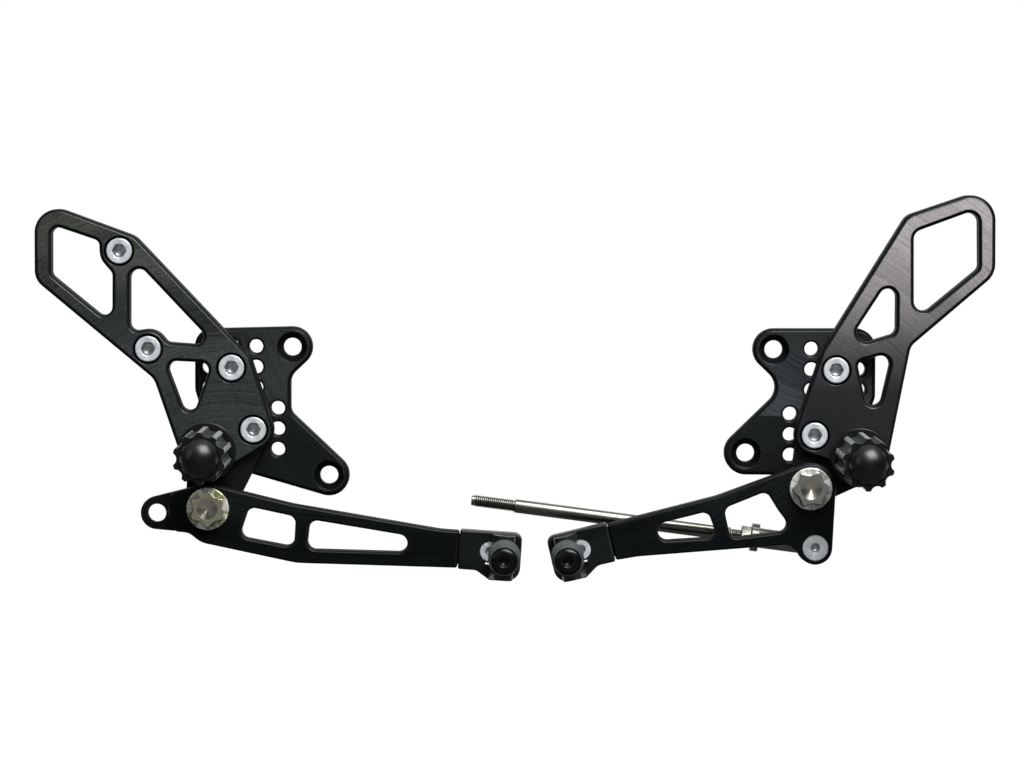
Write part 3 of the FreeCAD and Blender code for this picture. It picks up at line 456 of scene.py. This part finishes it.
def foot_peg(node, paint):
    """Turned from bore to nose, then its grip's points are drawn in to the flutes."""
    low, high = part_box(node)
    neck = high.y - PEG_FLANGE_T
    end = low.y + PEG_DOME_H
    pitch = (neck - end) / (PEG_RINGS + 1)
    profile = [(0, high.y - PEG_BORE_L), (PEG_BORE_R, high.y - PEG_BORE_L), (PEG_BORE_R, high.y),
               (PEG_FLANGE_R - PEG_EDGE, high.y), (PEG_FLANGE_R, high.y - PEG_EDGE),
               (PEG_FLANGE_R, neck + PEG_EDGE), (PEG_FLANGE_R - PEG_EDGE, neck), (PEG_CORE_R, neck)]
    for number in range(PEG_RINGS + 1):
        start, stop = neck - number * pitch - PEG_RING_W, neck - (number + 1) * pitch
        profile += [(PEG_CORE_R, start), (PEG_R - PEG_EDGE, start), (PEG_R, start - PEG_EDGE),
                    (PEG_R, stop + PEG_EDGE), (PEG_R - PEG_EDGE, stop), (PEG_CORE_R, stop)]
    ball = (PEG_DOME_R ** 2 + PEG_DOME_H ** 2) / (2 * PEG_DOME_H)
    half = math.asin(PEG_DOME_R / ball)
    for step in range(PEG_DOME_STEPS, -1, -1):
        turn = half * step / PEG_DOME_STEPS
        profile.append((ball * math.sin(turn), low.y + ball * (1 - math.cos(turn))))
    work = bmesh.new()
    spun(work, profile, PEG_FLUTES * PEG_FLUTE_STEPS)
    for vert in work.verts:
        radius = math.hypot(vert.co.x, vert.co.z)
        around = (math.atan2(vert.co.z, vert.co.x) * PEG_FLUTES / math.tau) % 1.0
        aside = PEG_FLUTE_AT * math.sin(min(around, 1.0 - around) * math.tau / PEG_FLUTES)
        if vert.co.y < neck - PEG_RING_W / 2 and radius > PEG_CORE_R and aside < PEG_FLUTE_R:
            wall = math.sqrt(PEG_FLUTE_AT ** 2 - aside ** 2) - math.sqrt(PEG_FLUTE_R ** 2 - aside ** 2)
            if wall < radius:
                vert.co.x *= wall / radius
                vert.co.z *= wall / radius
    settle(work, on_axis(node))
    made_piece(node + "_finished", work, node, [paint])


low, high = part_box("brake_foot_peg")
peg_black = blasted_black("peg_anodised", low.y + PEG_DOME_H, high.y - PEG_FLANGE_T)
bolt_black = satin_black("black_oxide", (0.0040, 0.0040, 0.0042), 0.22, 0.30, 0.4 * MM, 0.01 * MM)
for side in ("brake", "shift"):
    foot_peg(side + "_foot_peg", peg_black)
    merged(side + "_peg_bolt", bolt_black)

# Socket screws: cold-formed M8 cap screws, bright zinc plated, two in one node. A head has a
# hexagon socket with a coned mouth and a drilled foot. The thread is a real one, drawn as large as
# the core of its tapped hole.
SCREW_HEAD_R = 6.5 * MM
SCREW_HEAD_H = 8.0 * MM
SCREW_EDGE = 0.55 * MM          # rounded rims of the head
SCREW_HEX = 6.0 * MM
SCREW_CONE = 0.35 * MM          # at the socket's mouth
SCREW_SHANK_R = 4.0 * MM
SCREW_PLAIN_L = 3.5 * MM        # of the shank, under the head
SCREW_THREAD_R = 3.48 * MM
SCREW_CORE_R = 2.95 * MM
SCREW_PITCH = 1.25 * MM
SCREW_TIP = 0.9 * MM            # chamfer
THREAD_DEPTH = 0.42             # of the pitch
THREAD_CREST = (0.38, 0.62)     # where the crest starts and ends, of the pitch


def turned_metal(name, colour, dark, rough, ring, metallic=1.0, gloss=0.5):
    """Plated or bare metal turned round an axis along Y: fine rings and a slow change of tone.

    It is made rougher and painted dark where a piece's attribute for painted shade says so, as down in a socket.
    """
    made, start = new_paint(name)
    place, reach = round_axis(start)
    dull = start.node("Attribute", {"attribute_name": "dull"}, out="Fac")
    rings = reach.noise(1.0 / ring, 3.0, 0.7, line=True)
    cloud = place.noise(260.0, 3.0)
    face = (rings * 0.4 + cloud * 0.6).step(0.3, 0.7).blend(dark, colour)
    # Painted shade: where the attribute says so, the colour goes nearly black.
    face = dull.blend(face, tuple(0.03 * part for part in dark))
    shade(start, {"Base Color": face, "Metallic": metallic, "Roughness": rough + rings * 0.10 + dull * 0.3,
                  "Specular IOR Level": gloss, "Normal": bumped(start, rings + cloud * 0.5, 0.012 * MM, 0.3)})
    return made


def drawn_on(work, loop):
    """The next ring of a skin, grown from an open edge: its edges and its points."""
    grown = bmesh.ops.extrude_edge_only(work, edges=loop)["geom"]
    edges = [part for part in grown if isinstance(part, bmesh.types.BMEdge)]
    return edges, {vert for edge in edges for vert in edge.verts}


def socket(work, across, mouth, deep):
    """Sinks a hexagon socket into a screw's open mouth: coned rim, six walls made rougher and darkened by painted
    shade, and a drilled foot.
    """
    dull = work.verts.layers.float.new("dull")
    rim = [edge for edge in work.edges if edge.is_boundary]
    top = rim[0].verts[0].co.y
    drilled = deep + across * 0.1
    # depth, radius as a share of the width across the flats, whether it is a hexagon, and painted shade
    rings = ((mouth, 0.50, True, 0.75), (deep, 0.50, True, 0.7), (deep, 0.44, False, 0.25),
             (drilled, 0.24, False, 0.1), (drilled, 0.20, False, 0.0))
    for depth, share, six_sided, painted_shade_level in rings:
        rim, points = drawn_on(work, rim)
        for vert in points:
            turn = math.atan2(vert.co.z, vert.co.x)
            side = (turn + math.pi / 6) % (math.pi / 3) - math.pi / 6
            corner = math.cos(math.pi / 6 - abs(side)) if six_sided else 1.0
            radius = across * share / corner
            vert.co = (radius * math.cos(turn), top + depth, radius * math.sin(turn))
            vert[dull] = painted_shade_level
    foot = bmesh.ops.edgenet_fill(work, edges=rim)["faces"]
    point = bmesh.ops.poke(work, faces=foot)["verts"][0]
    point.co.y += across * 0.05
    point[dull] = 0.0


def thread(work, radius, pitch, start, end, steps=24):
    """A real thread: its V spun along a helix between two depths, and both ends closed."""
    root = radius - THREAD_DEPTH * pitch
    crest = [(radius, pitch * share) for share in THREAD_CREST]
    points = [work.verts.new((r, start + y, 0)) for r, y in ((root, 0.0), *crest, (root, pitch))]
    edges = [work.edges.new(pair) for pair in zip(points, points[1:])]
    turns = math.floor((end - start) / pitch) - 1
    old = set(work.verts) - set(points)
    bmesh.ops.spin(work, geom=points + edges, cent=(0, 0, 0), axis=(0, 1, 0), angle=math.tau * turns,
                   steps=steps * turns, dvec=(0, pitch / steps, 0))
    bmesh.ops.remove_doubles(work, verts=[vert for vert in work.verts if vert not in old], dist=SAME_POINT)
    bmesh.ops.holes_fill(work, edges=[edge for edge in work.edges if edge.is_boundary], sides=0)


def join(parts):
    """Several pieces of mesh in one."""
    whole = bmesh.new()
    for part in parts:
        mesh = bpy.data.meshes.new("part")
        part.to_mesh(mesh)
        part.free()
        whole.from_mesh(mesh)
        bpy.data.meshes.remove(mesh)
    return whole


def cap_screw(top, tip, place):
    """One socket screw between two depths, on its axis."""
    work = bmesh.new()
    mouth = SCREW_HEX / math.sqrt(3) + SCREW_CONE
    under = top + SCREW_HEAD_H
    plain = under + SCREW_PLAIN_L
    spun(work, [(mouth, top), (SCREW_HEAD_R - SCREW_EDGE, top),
                (SCREW_HEAD_R - 0.15 * MM, top + SCREW_EDGE * 0.4), (SCREW_HEAD_R, top + SCREW_EDGE),
                (SCREW_HEAD_R, under - SCREW_EDGE), (SCREW_HEAD_R - SCREW_EDGE, under),
                (SCREW_SHANK_R, under), (SCREW_SHANK_R, plain), (SCREW_CORE_R, plain + 0.7 * MM),
                (SCREW_CORE_R, tip - SCREW_TIP), (SCREW_CORE_R - 0.8 * MM, tip), (0, tip)])
    socket(work, SCREW_HEX, SCREW_CONE, SCREW_HEAD_H / 2)
    # The head's rounded rim is painted dark too: painted shade.
    dull = work.verts.layers.float["dull"]
    for vert in work.verts:
        if math.hypot(vert.co.x, vert.co.z) > SCREW_HEAD_R - SCREW_EDGE / 2:
            vert[dull] = 0.6
    thread(work, SCREW_THREAD_R, SCREW_PITCH, plain + 0.4 * MM, tip - 0.2 * MM)
    settle(work, place)
    return work


zinc = turned_metal("bright_zinc", (0.95, 0.98, 0.99), (0.66, 0.74, 0.78), 0.24, 0.5 * MM, 0.35)
# The two screws of a node lie at the ends of a diagonal of its box, which leans to one side.
for node, lean in (("brake_plate_screws", 1), ("brake_cylinder_screws", 1), ("shift_plate_screws", -1)):
    low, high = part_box(node)
    upper = low.x if lean > 0 else high.x
    lower = high.x if lean > 0 else low.x
    spots = ((upper + lean * SCREW_HEAD_R, high.z - SCREW_HEAD_R),
             (lower - lean * SCREW_HEAD_R, low.z + SCREW_HEAD_R))
    made_piece(node + "_finished", join([
        cap_screw(low.y, high.y, Matrix.Translation((x, 0, z))) for x, z in spots]), node, [zinc])

# Lever pivots: a turned steel shoulder bolt whose polished head carries a six-pointed star with a
# coned dimple, a thrust washer behind the lever and a bronze bush in it.
CAP_R = 10.6 * MM
CAP_RIM_T = 2.0 * MM
CAP_EDGE = 0.5 * MM
CAP_ROUND = 0.22 * MM           # softened edges of the head and the star
CAP_SHARP = math.radians(15)
SHOULDER_R = 5.0 * MM
PIVOT_CORE_R = 3.5 * MM
STAR_H = 4.0 * MM
STAR_TIP_R = 9.0 * MM
STAR_TIP_ROUND = 1.0 * MM
STAR_VALLEY_R = 7.0 * MM
STAR_VALLEY_ROUND = 3.2 * MM
# The painted shadow line at the star's foot, as shares of its outline:
STAR_SHADE = 1.04               # the dark line at the star's foot: full up to here, of its outline,
STAR_FOOT = 1.09                # and gone from here on
STAR_TURN = {"brake": 90.0, "shift": 64.0}
LIT_SIDE = 70.0                 # degrees, where the key light comes from in the plane of the plates
# A flange's light and tinted sectors are painted reflections of its surroundings.
CAP_TONES = {                   # a star's face, and the sectors that its flange has in a second tone
    "brake": ((0.84, 0.84, 0.62), (0.36, 0.37, 0.20)),
    "shift": ((0.70, 0.72, 0.68), (0.44, 0.47, 0.42)),
}
DIMPLE_R = 5.3 * MM
DIMPLE_DEPTH = 1.8 * MM
EAR_T = 8.0 * MM


def towards(degrees):
    """A way in the plane of the plates, from X towards Z."""
    return Vector((math.cos(math.radians(degrees)), 0, math.sin(math.radians(degrees))))


def star_outline(turn, steps=8):
    """Round tips and hollow valleys, joined by straight sides."""
    tip_at = STAR_TIP_R - STAR_TIP_ROUND
    valley_at = STAR_VALLEY_R + STAR_VALLEY_ROUND
    between = valley_at * towards(30) - tip_at * towards(0)
    lean = math.degrees(math.atan2(between.z, between.x)
                        - math.acos((STAR_TIP_ROUND + STAR_VALLEY_ROUND) / between.length))
    arcs = []
    for first in range(0, 360, 60):
        ways = [turn + first - lean + 2 * lean * step / steps for step in range(steps + 1)]
        arcs.append([tip_at * towards(turn + first) + STAR_TIP_ROUND * towards(way) for way in ways])
        ways = [turn + first + lean + (60 - 2 * lean) * step / steps for step in range(steps + 1)]
        centre = valley_at * towards(turn + first + 30)
        arcs.append([centre - STAR_VALLEY_ROUND * towards(way) for way in ways])
    points = []
    for arc, following in zip(arcs, arcs[1:] + arcs[:1]):
        points += arc + [arc[-1].lerp(following[0], step / steps) for step in range(1, steps)]
    return points


def pivot_bolt(side, paint):
    """Rings drawn on from the star's outline, inwards to the dimple and outwards down the whole bolt.

    A ring of 1 or more is that many times the outline, and any other ring is round. The star's foot
    carries a painted shadow line, darkest away from the key light.
    """
    node = side + "_pivot_bolt"
    low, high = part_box(node)
    rim = low.y + STAR_H
    back = rim + CAP_RIM_T
    ear = high.y - EAR_T
    work = bmesh.new()
    dull = work.verts.layers.float.new("dull")
    outline = star_outline(STAR_TURN[side])
    star = [work.verts.new(point + Vector((0, low.y, 0))) for point in outline]
    front = [work.edges.new(pair) for pair in zip(star, star[1:] + star[:1])]
    inner = ((DIMPLE_R, low.y, 0.0), (0.2 * MM, low.y + DIMPLE_DEPTH, 0.0))
    outer = ((1.0, rim, 1.0), (STAR_SHADE, rim, 1.0), (STAR_FOOT, rim, 0.0), (CAP_R - CAP_EDGE, rim, 0.0),
             (CAP_R, rim + CAP_EDGE, 0.0), (CAP_R, back, 0.0), (SHOULDER_R, back, 0.0),
             (SHOULDER_R, ear, 0.0), (PIVOT_CORE_R, ear, 0.0), (PIVOT_CORE_R, high.y, 0.0))
    for chain in (inner, outer):
        loop = front
        for size, depth, painted_shade_level in chain:
            loop, points = drawn_on(work, loop)
            for vert in points:
                flat = Vector((vert.co.x, 0, vert.co.z))
                reach = flat.length * size if size >= 1.0 else size
                vert.co = flat.normalized() * reach + Vector((0, depth, 0))
                # Painted shadow at the star's foot, darkest away from the key light.
                vert[dull] = painted_shade_level * (0.65 - 0.5 * flat.normalized().dot(towards(LIT_SIDE)))
        bmesh.ops.edgenet_fill(work, edges=loop)
    settle(work, on_axis(node))
    made_piece(node + "_finished", work, node, [paint], CAP_ROUND, CAP_SHARP)


def polished_cap(name, top, star, reflection_tint):
    """Polished steel: a flange painted in light and tinted sectors as painted reflections, an even star, a turned
    dimple, and painted shadow where the piece's attribute says so.
    """
    made, start = new_paint(name)
    place, reach = round_axis(start)
    dull = start.node("Attribute", {"attribute_name": "dull"}, out="Fac")
    depth = start.node("SeparateXYZ", inputs={"Vector": place}, out="Y")
    flange = depth.step(top + 0.5 * MM, top + STAR_H - 0.5 * MM)
    dimple = 1.0 - reach.step(DIMPLE_R - 0.3 * MM, DIMPLE_R)
    across = place.vector("MULTIPLY", place, (1.0, 0.0, 1.0))
    fans = across.vector("NORMALIZE", across).noise(1.9, 2.0, 0.6)
    rings = reach.noise(3000.0, 3.0, 0.7, line=True)
    cloud = place.noise(300.0, 3.0)
    # Painted reflections: light and tinted sectors round the flange.
    painted_reflections = fans.step(0.42, 0.58).blend(reflection_tint, (0.98, 0.96, 0.92))
    face = dimple.blend(star, (0.66, 0.61, 0.53))
    face = flange.blend(face.vector("MULTIPLY", face, 0.7 + 0.3 * rings + 0.3 * cloud), painted_reflections)
    # The colour of the painted shadow at the star's foot.
    dark = tuple(0.02 * part for part in star)
    shade(start, {"Base Color": dull.blend(face, dark), "Metallic": 1.0 - 0.55 * flange,
                  "Roughness": 0.17 + rings * 0.12, "Normal": bumped(start, rings + cloud, 0.012 * MM, 0.3)})
    return made


bronze = turned_metal("bearing_bronze", (0.60, 0.42, 0.22), (0.42, 0.28, 0.14), 0.30, 0.4 * MM)
for side in ("brake", "shift"):
    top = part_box(side + "_pivot_bolt")[0].y
    pivot_bolt(side, polished_cap(side + "_polished_steel", top, *CAP_TONES[side]))
    merged(side + "_pivot_washer", zinc)
    merged(side + "_lever_bush", bronze)

# Levers: 10 mm plate with two windows each, chamfered in front, with a thin tongue for the toe piece.
# They are anodised a deeper black than the plates.
# The levers' tone is painted lighter towards the pivot, painted light against the foot peg's shadow.
lever_black = anodised("lever_anodised", (
    (-0.110, (0.0042, 0.0058, 0.0060)), (-0.090, (0.0042, 0.0058, 0.0060)),
    (-0.078, (0.0080, 0.0100, 0.0102))), 0.08, (0.05, 0.28))
merged("brake_lever", lever_black, sunk_painted_shade, wall_painted_shade, dim_edge)
merged("shift_lever", lever_black, sunk_painted_shade, wall_painted_shade, dim_edge)

# Toe blocks: small milled blocks over the levers' tongues, each with a fork that holds a hinge pin.
# A flat zinc screw with a small socket keeps each block down.
TOE_SCREW_R = 5.0 * MM
TOE_SCREW_HEAD_H = 2.4 * MM
TOE_SCREW_CORE_R = 2.5 * MM
TOE_SCREW_HEX = 4.0 * MM
TOE_SCREW_SOCKET = 1.5 * MM     # how deep it goes
FLAT_HEAD_EDGE = 0.25 * MM
FLAT_HEAD_CONE = 0.2 * MM       # at the socket's mouth


def flat_screw(node, radius, head, core_r, across, deep, paint, cone=0.0):
    """A flat-headed screw with a hexagon socket; a cone makes it countersunk."""
    low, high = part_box(node)
    work = bmesh.new()
    edge = FLAT_HEAD_EDGE
    spun(work, [(across / math.sqrt(3) + FLAT_HEAD_CONE, low.y), (radius - edge, low.y),
                (radius, low.y + edge), (radius, low.y + head - cone), (core_r, low.y + head),
                (core_r, high.y - edge), (core_r - edge, high.y), (0, high.y)])
    socket(work, across, FLAT_HEAD_CONE, deep)
    settle(work, on_axis(node))
    made_piece(node + "_finished", work, node, [paint])


block_wall = satin_black("block_wall", (0.014, 0.016, 0.017), 0.34, 0.35, 0.3 * MM, 0.01 * MM)
for side in ("brake", "shift"):
    merged(side + "_toe_block", lever_black, sunk_painted_shade, block_wall, dim_edge)
    merged(side + "_toe_hinge_pin", zinc)
    flat_screw(side + "_toe_block_screw", TOE_SCREW_R, TOE_SCREW_HEAD_H, TOE_SCREW_CORE_R, TOE_SCREW_HEX,
               TOE_SCREW_SOCKET, zinc)

# Toe springs: 1 mm spring wire, two and a half turns round the hinge pin beside the eye, with one leg
# that runs back along the block's face.
SPRING_TURNS = 2.5
SPRING_COIL_R = 5.2 * MM
SPRING_WIRE_R = 0.5 * MM
SPRING_LEG = 9.0 * MM
SPRING_STEPS = 24               # for each turn
joints = {joint["name"]: joint for joint in frame["joints"]}


def hinge_place(side):
    """From a frame with z along the toe hinge and x out of the lever, to the hinge's place."""
    joint = joints[side + "_toe_fold"]
    up = Vector(joint["axis"])
    up *= math.copysign(1.0, up.z)
    out = Vector((up.z, 0, -up.x)) * (1 if side == "brake" else -1)
    turn = Matrix((out, (0, 1, 0), up)).transposed()
    return Matrix.Translation(joint["pos_m"]) @ turn.to_4x4()


def toe_spring(side):
    """A round section spun up the coil, whose last face is drawn out into the leg."""
    node = side + "_toe_spring"
    place = hinge_place(side)
    back = place.inverted()
    heights = [(back @ vert.co).z for vert in nodes[node].data.vertices]
    low, high = min(heights) + SPRING_WIRE_R, max(heights) - SPRING_WIRE_R
    work = bmesh.new()
    section = bmesh.ops.create_circle(work, cap_ends=True, segments=10, radius=SPRING_WIRE_R,
                                      matrix=Matrix.Rotation(math.pi / 2, 4, "X"))["verts"]
    bmesh.ops.translate(work, verts=section, vec=(SPRING_COIL_R, 0, low))
    first = math.radians(90 - 360 * SPRING_TURNS)
    bmesh.ops.rotate(work, verts=section, matrix=Matrix.Rotation(first, 3, "Z"))
    count = round(SPRING_STEPS * SPRING_TURNS)
    coil = bmesh.ops.spin(work, geom=list(work.faces), cent=(0, 0, 0), axis=(0, 0, 1),
                          angle=math.tau * SPRING_TURNS, steps=count, dvec=(0, 0, (high - low) / count))
    end = [part for part in coil["geom_last"] if isinstance(part, bmesh.types.BMFace)]
    leg = bmesh.ops.extrude_face_region(work, geom=end)["geom"]
    bmesh.ops.delete(work, geom=end, context="FACES")
    bmesh.ops.translate(work, verts=[part for part in leg if isinstance(part, bmesh.types.BMVert)],
                        vec=(-SPRING_LEG, 0, 0))
    settle(work, place)
    made_piece(node + "_finished", work, node, [zinc])


for side in ("brake", "shift"):
    toe_spring(side)

# Toe pegs: a moulded rubber with a knurled collar, three ridges and a smooth nose, pushed on a steel
# carrier that folds on the hinge pin. A black round-headed screw closes the nose.
RUBBER_R = 8.0 * MM
RUBBER_COLLAR_R = 6.9 * MM
RUBBER_COLLAR_L = 5.0 * MM
RUBBER_NOSE_R = 7.4 * MM
RUBBER_NOSE_L = 8.0 * MM
RUBBER_BORE_R = 4.0 * MM
NOSE_GROOVE_R = 6.7 * MM
NOSE_SLOPE = 0.8 * MM           # from the last groove's floor to the nose's side
NOSE_ROUND = ((0.0, 1.9 * MM), (0.25 * MM, 0.8 * MM), (0.7 * MM, 0.0))  # in from its side, back from its end
NOSE_RECESS_R = 6.5 * MM
NOSE_RECESS = 3.0 * MM
COLLAR_SOFT = 0.7 * MM          # slopes at the collar's ends
KNOBS = 30                      # bumps round the collar
KNOB_STEPS = 4
KNOB_HEIGHT = 0.09              # of the collar's radius
KNOB_GAP = -0.35                # how deep the gaps between the knobs go, of a knob's height
RIDGES = 3
GROOVE_DEPTH = 1.1 * MM
GROOVE_FOOT = 0.9 * MM          # width of a groove's floor
RIDGE_SLOPE = 0.6 * MM          # from the groove's floor to the ridge's edge
RIDGE_SOFT = 1.4 * MM           # and to its full height
END_SCREW_R = 6.2 * MM
END_SCREW_HEAD = 4.5 * MM
END_SCREW_HEX = 5.0 * MM
END_SCREW_CONE = 0.3 * MM
END_SCREW_SOCKET = 2.4 * MM
END_SCREW_ROUND = ((4.2 * MM, 0.05 * MM), (5.2 * MM, 0.35 * MM), (5.8 * MM, 0.85 * MM),
                   (END_SCREW_R, 1.7 * MM))


def moulded_rubber(name):
    """Grey-green rubber, matt, with a little bloom on it."""
    made, start = new_paint(name)
    place = start.node("TexCoord", out="Object")
    bloom = place.noise(110.0, 4.0)
    grain = place.noise(1600.0, 2.0)
    face = (bloom * 0.8 + grain * 0.2).step(0.3, 0.7).blend((0.019, 0.026, 0.025), (0.040, 0.051, 0.049))
    shade(start, {"Base Color": face, "Roughness": 0.52 + bloom * 0.16, "Specular IOR Level": 0.42,
                  "Normal": bumped(start, grain, 0.03 * MM, 0.5)})
    return made


def toe_rubber(node, paint):
    """Turned from its bore over the collar and the ridges to the sunk nose, then knurled."""
    low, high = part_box(node)
    depth = high.y - RUBBER_COLLAR_L
    pitch = (high.y - low.y - RUBBER_COLLAR_L - RUBBER_NOSE_L) / RIDGES
    groove = RUBBER_R - GROOVE_DEPTH
    profile = [(RUBBER_BORE_R, high.y), (RUBBER_COLLAR_R - 0.6 * MM, high.y),
               (RUBBER_COLLAR_R, high.y - COLLAR_SOFT), (RUBBER_COLLAR_R, high.y - RUBBER_COLLAR_L / 2),
               (RUBBER_COLLAR_R, depth + COLLAR_SOFT)]
    collar_end = depth + 0.3 * MM
    for _ in range(RIDGES):
        foot, end = depth - GROOVE_FOOT, depth - pitch
        profile += [(groove, depth), (groove, foot), (RUBBER_R - 0.35 * MM, foot - RIDGE_SLOPE),
                    (RUBBER_R, foot - RIDGE_SOFT), (RUBBER_R, end + RIDGE_SOFT),
                    (RUBBER_R - 0.3 * MM, end + RIDGE_SLOPE)]
        depth = end
    foot, nose = depth - GROOVE_FOOT, low.y
    profile += [(NOSE_GROOVE_R, depth), (NOSE_GROOVE_R, foot), (RUBBER_NOSE_R, foot - NOSE_SLOPE),
                *((RUBBER_NOSE_R - aside, nose + back) for aside, back in NOSE_ROUND),
                (NOSE_RECESS_R, nose), (NOSE_RECESS_R, nose + NOSE_RECESS),
                (RUBBER_BORE_R, nose + NOSE_RECESS), (RUBBER_BORE_R, high.y)]
    work = bmesh.new()
    spun(work, profile, KNOBS * KNOB_STEPS)
    for vert in work.verts:
        radius = math.hypot(vert.co.x, vert.co.z)
        if vert.co.y > collar_end and radius > RUBBER_COLLAR_R - 0.1 * MM:
            turn = math.atan2(vert.co.z, vert.co.x)
            lift = 1 + KNOB_HEIGHT * max(KNOB_GAP, math.cos(KNOBS * turn))
            vert.co.x *= lift
            vert.co.z *= lift
    settle(work, on_axis(node))
    made_piece(node + "_finished", work, node, [paint])


def end_screw(node, paint):
    """A round-headed screw with a hexagon socket."""
    low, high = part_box(node)
    head = low.y + END_SCREW_HEAD
    work = bmesh.new()
    spun(work, [(END_SCREW_HEX / math.sqrt(3) + END_SCREW_CONE, low.y),
                *((radius, low.y + depth) for radius, depth in END_SCREW_ROUND), (END_SCREW_R, head),
                (TOE_SCREW_CORE_R, head), (TOE_SCREW_CORE_R, high.y), (0, high.y)])
    socket(work, END_SCREW_HEX, END_SCREW_CONE, END_SCREW_SOCKET)
    settle(work, on_axis(node))
    made_piece(node + "_finished", work, node, [paint])


rubber = moulded_rubber("toe_rubber")
gloss_black = turned_metal("gloss_black_steel", (0.003, 0.004, 0.004), (0.001, 0.002, 0.002), 0.18,
                           0.5 * MM, 0.0, 0.28)
for side in ("brake", "shift"):
    toe_rubber(side + "_toe_rubber", rubber)
    merged(side + "_toe_carrier", bolt_black)
    end_screw(side + "_toe_end_screw", gloss_black)

# Shift rod: drawn stainless bar with a rolled M6 thread at each end, screwed into a rod end whose
# eye turns on a ball and locked by a nut. A countersunk zinc screw holds the ball to the lever.
ROD_R = 3.4 * MM
ROD_THREAD_R = 2.95 * MM
ROD_PITCH = 1.0 * MM
ROD_THREAD_L = 22.0 * MM
ROD_NECK_AT = 42.2 * MM         # from the ball, where the thread behind the jam nut ends
ROD_EDGE = 0.4 * MM
ROD_STEPS = 32                  # points round the rod
ROD_SCREW_R = 6.5 * MM
ROD_SCREW_HEAD_H = 3.55 * MM
ROD_SCREW_CONE = 3.3 * MM       # of that, the countersunk part
ROD_SCREW_HEX = 4.0 * MM
ROD_SCREW_SOCKET = 2.2 * MM
NUT_ROUND = 0.45 * MM           # edges of the spacer and of the nut that the rod end turns beside
rod_eye = Vector(joints["rod_swing"]["pos_m"])
mounts = {mount["name"]: mount for mount in frame["record"]["mounts"]}
rod_way = Vector(mounts["shift_rod_thread"]["axis"])
rod_way *= math.copysign(1.0, -rod_way.x)


def drawn_steel(name, colour, dark, rough):
    """Bare stainless with long draw marks along its axis, which is the piece's own Y."""
    made, start = new_paint(name)
    place = start.node("Attribute", {"attribute_name": "local"}, out="Vector")
    marks = place.vector("MULTIPLY", place, (1.0, 0.03, 1.0)).noise(2600.0, 3.0, 0.7)
    cloud = place.noise(120.0, 3.0)
    face = (marks * 0.6 + cloud * 0.4).step(0.35, 0.65).blend(dark, colour)
    shade(start, {"Base Color": face, "Metallic": 1.0, "Roughness": rough + marks * 0.10,
                  "Normal": bumped(start, marks, 0.008 * MM, 0.3)})
    return made


stainless = drawn_steel("drawn_stainless", (0.24, 0.235, 0.215), (0.15, 0.145, 0.130), 0.26)
reaches = [(vert.co - rod_eye).dot(rod_way) for vert in nodes["shift_rod"].data.vertices]
near, far = min(reaches), max(reaches)
work = bmesh.new()
thread_core = ROD_THREAD_R - THREAD_DEPTH * ROD_PITCH
thread_from = far - ROD_THREAD_L
spun(work, [(0, near), (thread_core, near), (thread_core, ROD_NECK_AT - ROD_EDGE),
            (ROD_R - 0.1 * MM, ROD_NECK_AT), (ROD_R, ROD_NECK_AT + 0.2 * MM),
            (ROD_R, thread_from - 0.2 * MM), (ROD_R - 0.1 * MM, thread_from),
            (thread_core, thread_from + ROD_EDGE),
            (thread_core, far - ROD_EDGE), (thread_core - ROD_EDGE, far), (0, far)], ROD_STEPS)
thread(work, ROD_THREAD_R, ROD_PITCH, thread_from, far - 0.1 * MM, ROD_STEPS)
thread(work, ROD_THREAD_R, ROD_PITCH, near, ROD_NECK_AT + ROD_EDGE, ROD_STEPS)
settle(work, Matrix.Translation(rod_eye) @ rod_way.to_track_quat("Y", "Z").to_matrix().to_4x4())
made_piece("shift_rod_finished", work, "shift_rod", [stainless])
for node in ("shift_rod_ball", "shift_rod_end", "shift_rod_jam_nut"):
    merged(node, stainless)
for node in ("shift_rod_spacer", "shift_rod_screw_nut"):
    merged(node, zinc, rounded=NUT_ROUND)
flat_screw("shift_rod_screw", ROD_SCREW_R, ROD_SCREW_HEAD_H, ROD_THREAD_R, ROD_SCREW_HEX, ROD_SCREW_SOCKET,
           zinc, ROD_SCREW_CONE)

# The box round all the meshes that are shown, apart from the floor.
low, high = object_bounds()
